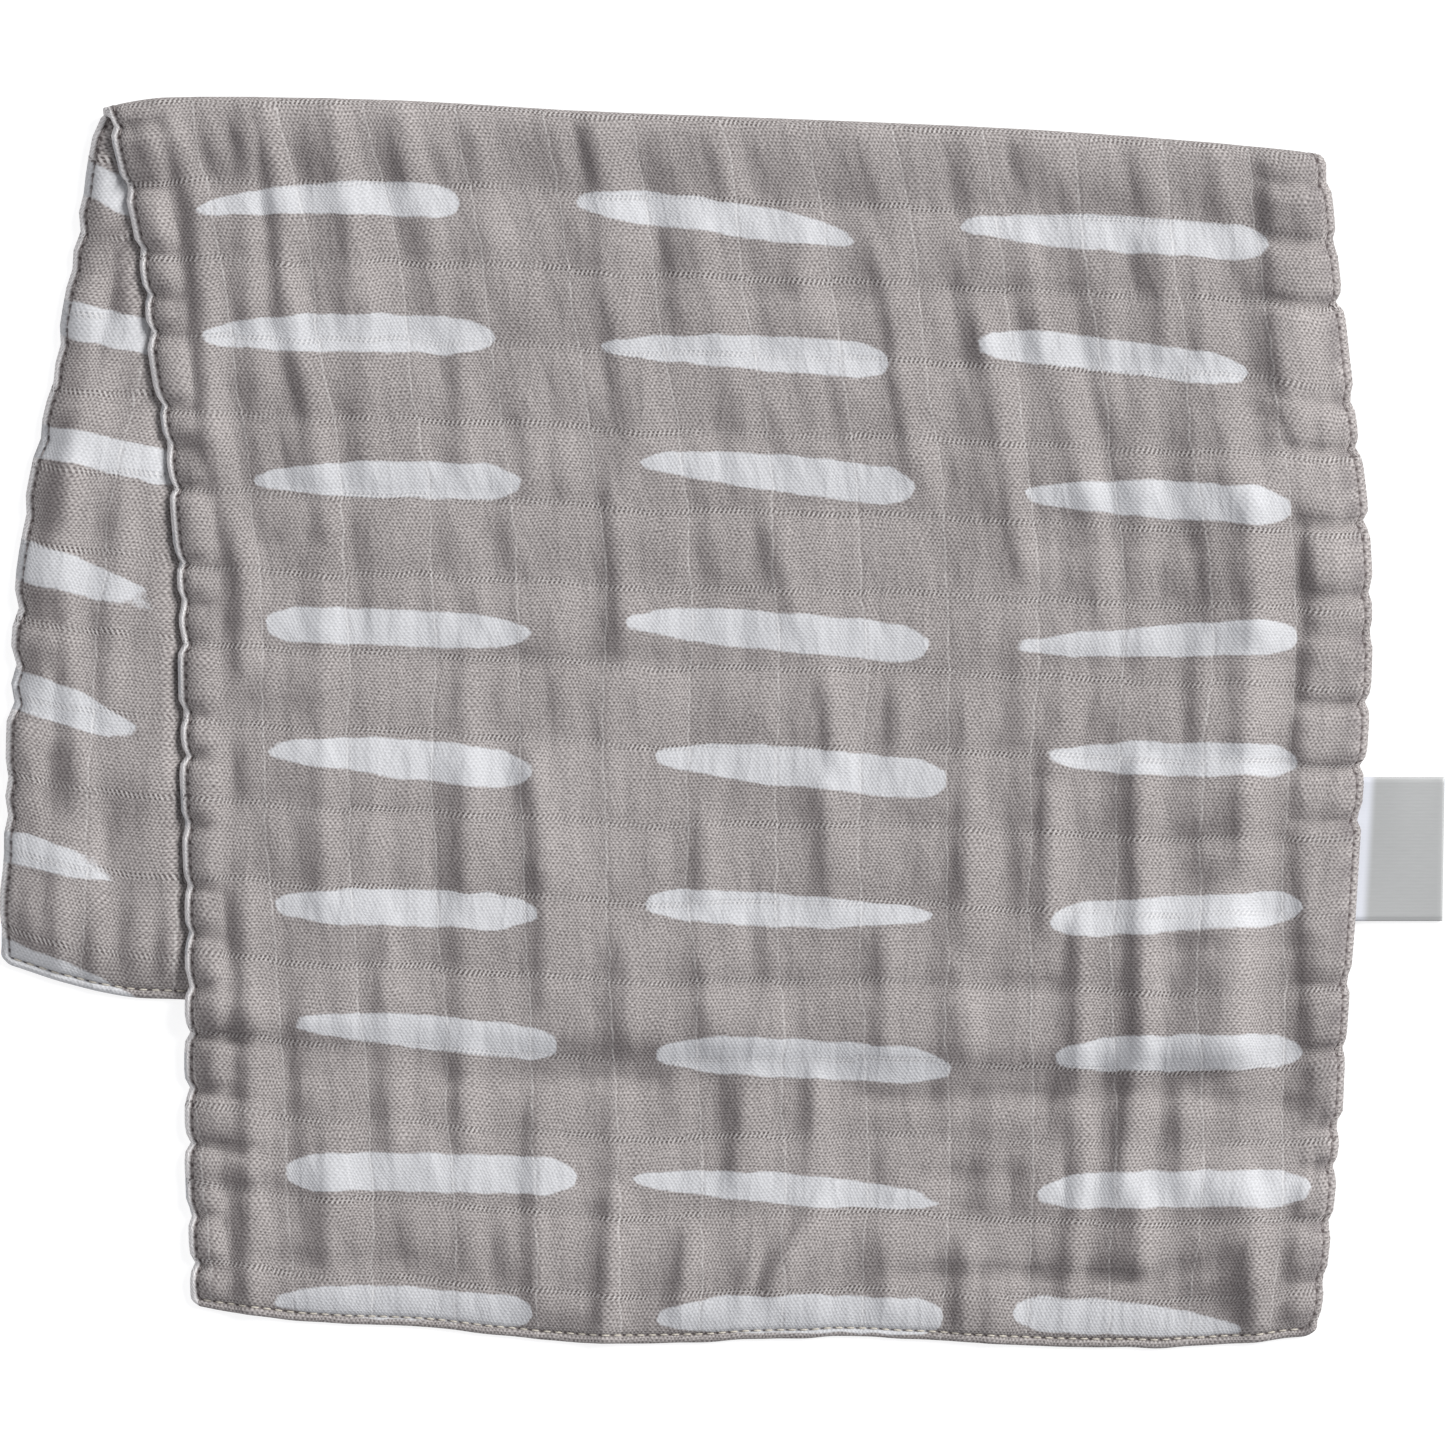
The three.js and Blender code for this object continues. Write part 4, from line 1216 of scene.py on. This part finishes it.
def seam_shade(nodes, u, v):
    """Painted shade in the dense gathers beside the right seam, in uneven patches."""
    seam = CLOTH_WIDTH - STITCH_INSET
    near = nodes.ramp(u, CLOTH_WIDTH - 8.0, seam) * nodes.near(u, seam, seam + 0.5)
    return near * nodes.ramp(nodes.noise((u * 0.4, v), 0.17), 0.35, 0.65)


def muslin_colour(nodes, u, v, shade, tacks):
    printed = print_share(nodes, u, v)
    # Painted shade: the flank attribute darkens the taupe and the print on slopes that face away from the
    # key light
    flank = nodes.attribute("flank")
    taupe = nodes.tint(nodes.mix(shade, TAUPE_DEEP, TAUPE_PALE), flank, TAUPE_FLANK_SHADE)
    white = nodes.tint(nodes.mix(shade, WHITE_DEEP, WHITE_PALE), flank, WHITE_FLANK_SHADE)
    # Painted light on the left seam's bead
    colour = nodes.mix(bead_painted_light(nodes, u, v), taupe, BEAD_PAINTED_LIGHT)
    colour = nodes.mix(printed, colour, white)
    # Painted shade beside the right seam
    colour = nodes.tint(colour, seam_shade(nodes, u, v), SEAM_SHADE)
    colour = nodes.tint(colour, tacks["lines"], LINE_PALE)
    colour = nodes.tint(colour, tacks["line_flanks"], LINE_DEEP)
    colour = nodes.tint(colour, tacks["bridges"], BRIDGE_PALE)
    holes = nodes.mix(printed, HOLE_IN_TAUPE, HOLE_IN_WHITE)
    colour = nodes.mix(tacks["holes"] * HOLE_STRENGTH, colour, holes)
    return nodes.tint(colour, stitch_marks(nodes), STITCH_MARK)


def muslin_material():
    nodes = Nodes("printed_muslin")
    u, v = flat_places(nodes)
    on_top, weft_rows = weave_threads(nodes, u, v)
    holes, bridges = tack_rows(nodes, u, v)
    lines, line_flanks = tack_lines(nodes, u, v)
    tacks = {"holes": holes, "bridges": bridges, "lines": lines, "line_flanks": line_flanks}
    pebble = nodes.noise((u, v), 1.7, 2.0, 0.7)

    slubs = nodes.noise((u * 0.25, v * 2.0), 0.9, 3.0)
    mottle = nodes.noise((u, v), 0.035, 3.0, 0.55)
    shade = mottle * 0.3 + slubs * 0.25 + pebble * 0.85 + on_top * 0.42 + weft_rows * 0.2
    colour = muslin_colour(nodes, u, v, nodes.ramp(shade, 0.5, 1.54), tacks)

    threads = on_top + weft_rows * 0.3 - holes + lines * 0.8 + pebble * 1.2
    normal = nodes.bump(threads, 0.55, 0.00014)
    crinkle = nodes.noise((u, v * 0.4), 0.28)
    normal = nodes.bump(crinkle, 0.3, 0.0012, under=normal)
    folded = nodes.noise((u, v * 0.3), 0.13, 2.0, 0.55)
    ridges = 1.0 - abs(folded * 2.0 - 1.0)
    normal = nodes.bump(ridges, 0.25, 0.0022, under=normal)
    surface = {"Base Color": colour, "Roughness": 0.94, "Specular IOR Level": 0.2, "Normal": normal}
    return nodes.shade(surface)


def thread_material(name, deep, pale):
    nodes = Nodes(name)
    place = nodes.add("ShaderNodeTexCoord", {}, "Object")
    colour = nodes.mix(nodes.noise(place, 900.0), deep, pale)
    normal = nodes.bump(nodes.noise(place, 2600.0, 1.0), 0.5, 0.00006)
    return nodes.shade({"Base Color": colour, "Roughness": 0.7, "Normal": normal})


def satin_material():
    """Satin tape: fine crosswise threads, a raised selvedge on both sides and a painted highlight, pale and
    cool, beside the seam.
    """
    nodes = Nodes("satin_tape")
    u, v = flat_places(nodes)
    threads = nodes.noise((u * 0.3, v * 3.0), 1.2)
    cloud = nodes.noise((u, v), 0.05)
    selvedge = nodes.near(nodes.math("MINIMUM", v, LABEL_LENGTH - v), 0.35, 0.75)
    colour = nodes.mix(threads * 0.5 + cloud * 0.5, SATIN_DEEP, SATIN_PALE)
    colour = nodes.tint(colour, selvedge, SELVEDGE_PALE)
    # Painted highlight: a pale, cool strip of the tape beside the seam
    colour = nodes.mix(nodes.ramp(u, 37.5, 39.6), colour, SATIN_SEAM_HIGHLIGHT)
    height = wave(nodes, v, 0.34) * 0.5 + selvedge * 1.2
    normal = nodes.bump(height, 0.35, 0.00008)
    surface = {"Base Color": colour, "Roughness": 0.42, "Sheen Weight": 0.1, "Normal": normal}
    return nodes.shade(surface)


def floor_material():
    glow = {"Emission Color": (1, 1, 1, 1), "Emission Strength": 0.75}
    return Nodes("pale_floor").shade({"Base Color": FLOOR_GREY, "Roughness": 0.9, **glow})


def build_floor():
    mesh = bpy.data.meshes.new("floor")
    corners = [(-FLOOR_REACH, -FLOOR_REACH), (FLOOR_REACH, -FLOOR_REACH), (FLOOR_REACH, FLOOR_REACH),
               (-FLOOR_REACH, FLOOR_REACH)]
    mesh.from_pydata([(x, y, 0) for x, y in corners], [], [(0, 1, 2, 3)])
    floor = new_object("floor", mesh)
    mesh.materials.append(floor_material())


def build_light(lamp):
    light = bpy.data.lights.new(lamp.name, "AREA")
    light.shape = "DISK"
    light.size = lamp.size
    light.energy = lamp.power
    obj = new_object(lamp.name, light)
    obj.location = lamp.place
    obj.rotation_euler = (-obj.location).to_track_quat("-Z", "Y").to_euler()


def build_lights():
    for lamp in LAMPS:
        build_light(lamp)
    world = bpy.data.worlds.new("studio")
    world.use_nodes = True
    background = world.node_tree.nodes["Background"]
    background.inputs["Color"].default_value = WORLD_COLOUR
    background.inputs["Strength"].default_value = WORLD_STRENGTH
    bpy.context.scene.world = world


def build_camera():
    camera = bpy.data.cameras.new("camera")
    camera.sensor_width = SENSOR_WIDTH
    camera.lens = SENSOR_WIDTH * CAMERA_HEIGHT / VIEW_WIDTH
    camera.clip_end = CAMERA_CLIP
    obj = new_object("camera", camera)
    obj.location = to_world([0.0, 0.0, CAMERA_HEIGHT])
    bpy.context.scene.camera = obj


def dress(obj, material):
    obj.data.materials.append(material)
    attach(obj, "root")


def main():
    sheet = Sheet()
    cloth = build_cloth(sheet)
    side_runs, hem_runs = seam_runs(sheet)
    side_stitches = build_stitches("side_stitches", side_runs, SIDE_THREAD)
    hem_stitches = build_stitches("hem_stitches", hem_runs, HEM_THREAD)
    label = build_label()
    dress(cloth, muslin_material())
    dress(side_stitches, thread_material("taupe_thread", *SIDE_THREAD.colours))
    dress(hem_stitches, thread_material("pale_thread", *HEM_THREAD.colours))
    dress(label, satin_material())
    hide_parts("cloth")
    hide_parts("label")
    build_floor()
    build_lights()
    build_camera()
    bpy.context.scene.view_settings.view_transform = "Standard"


main()
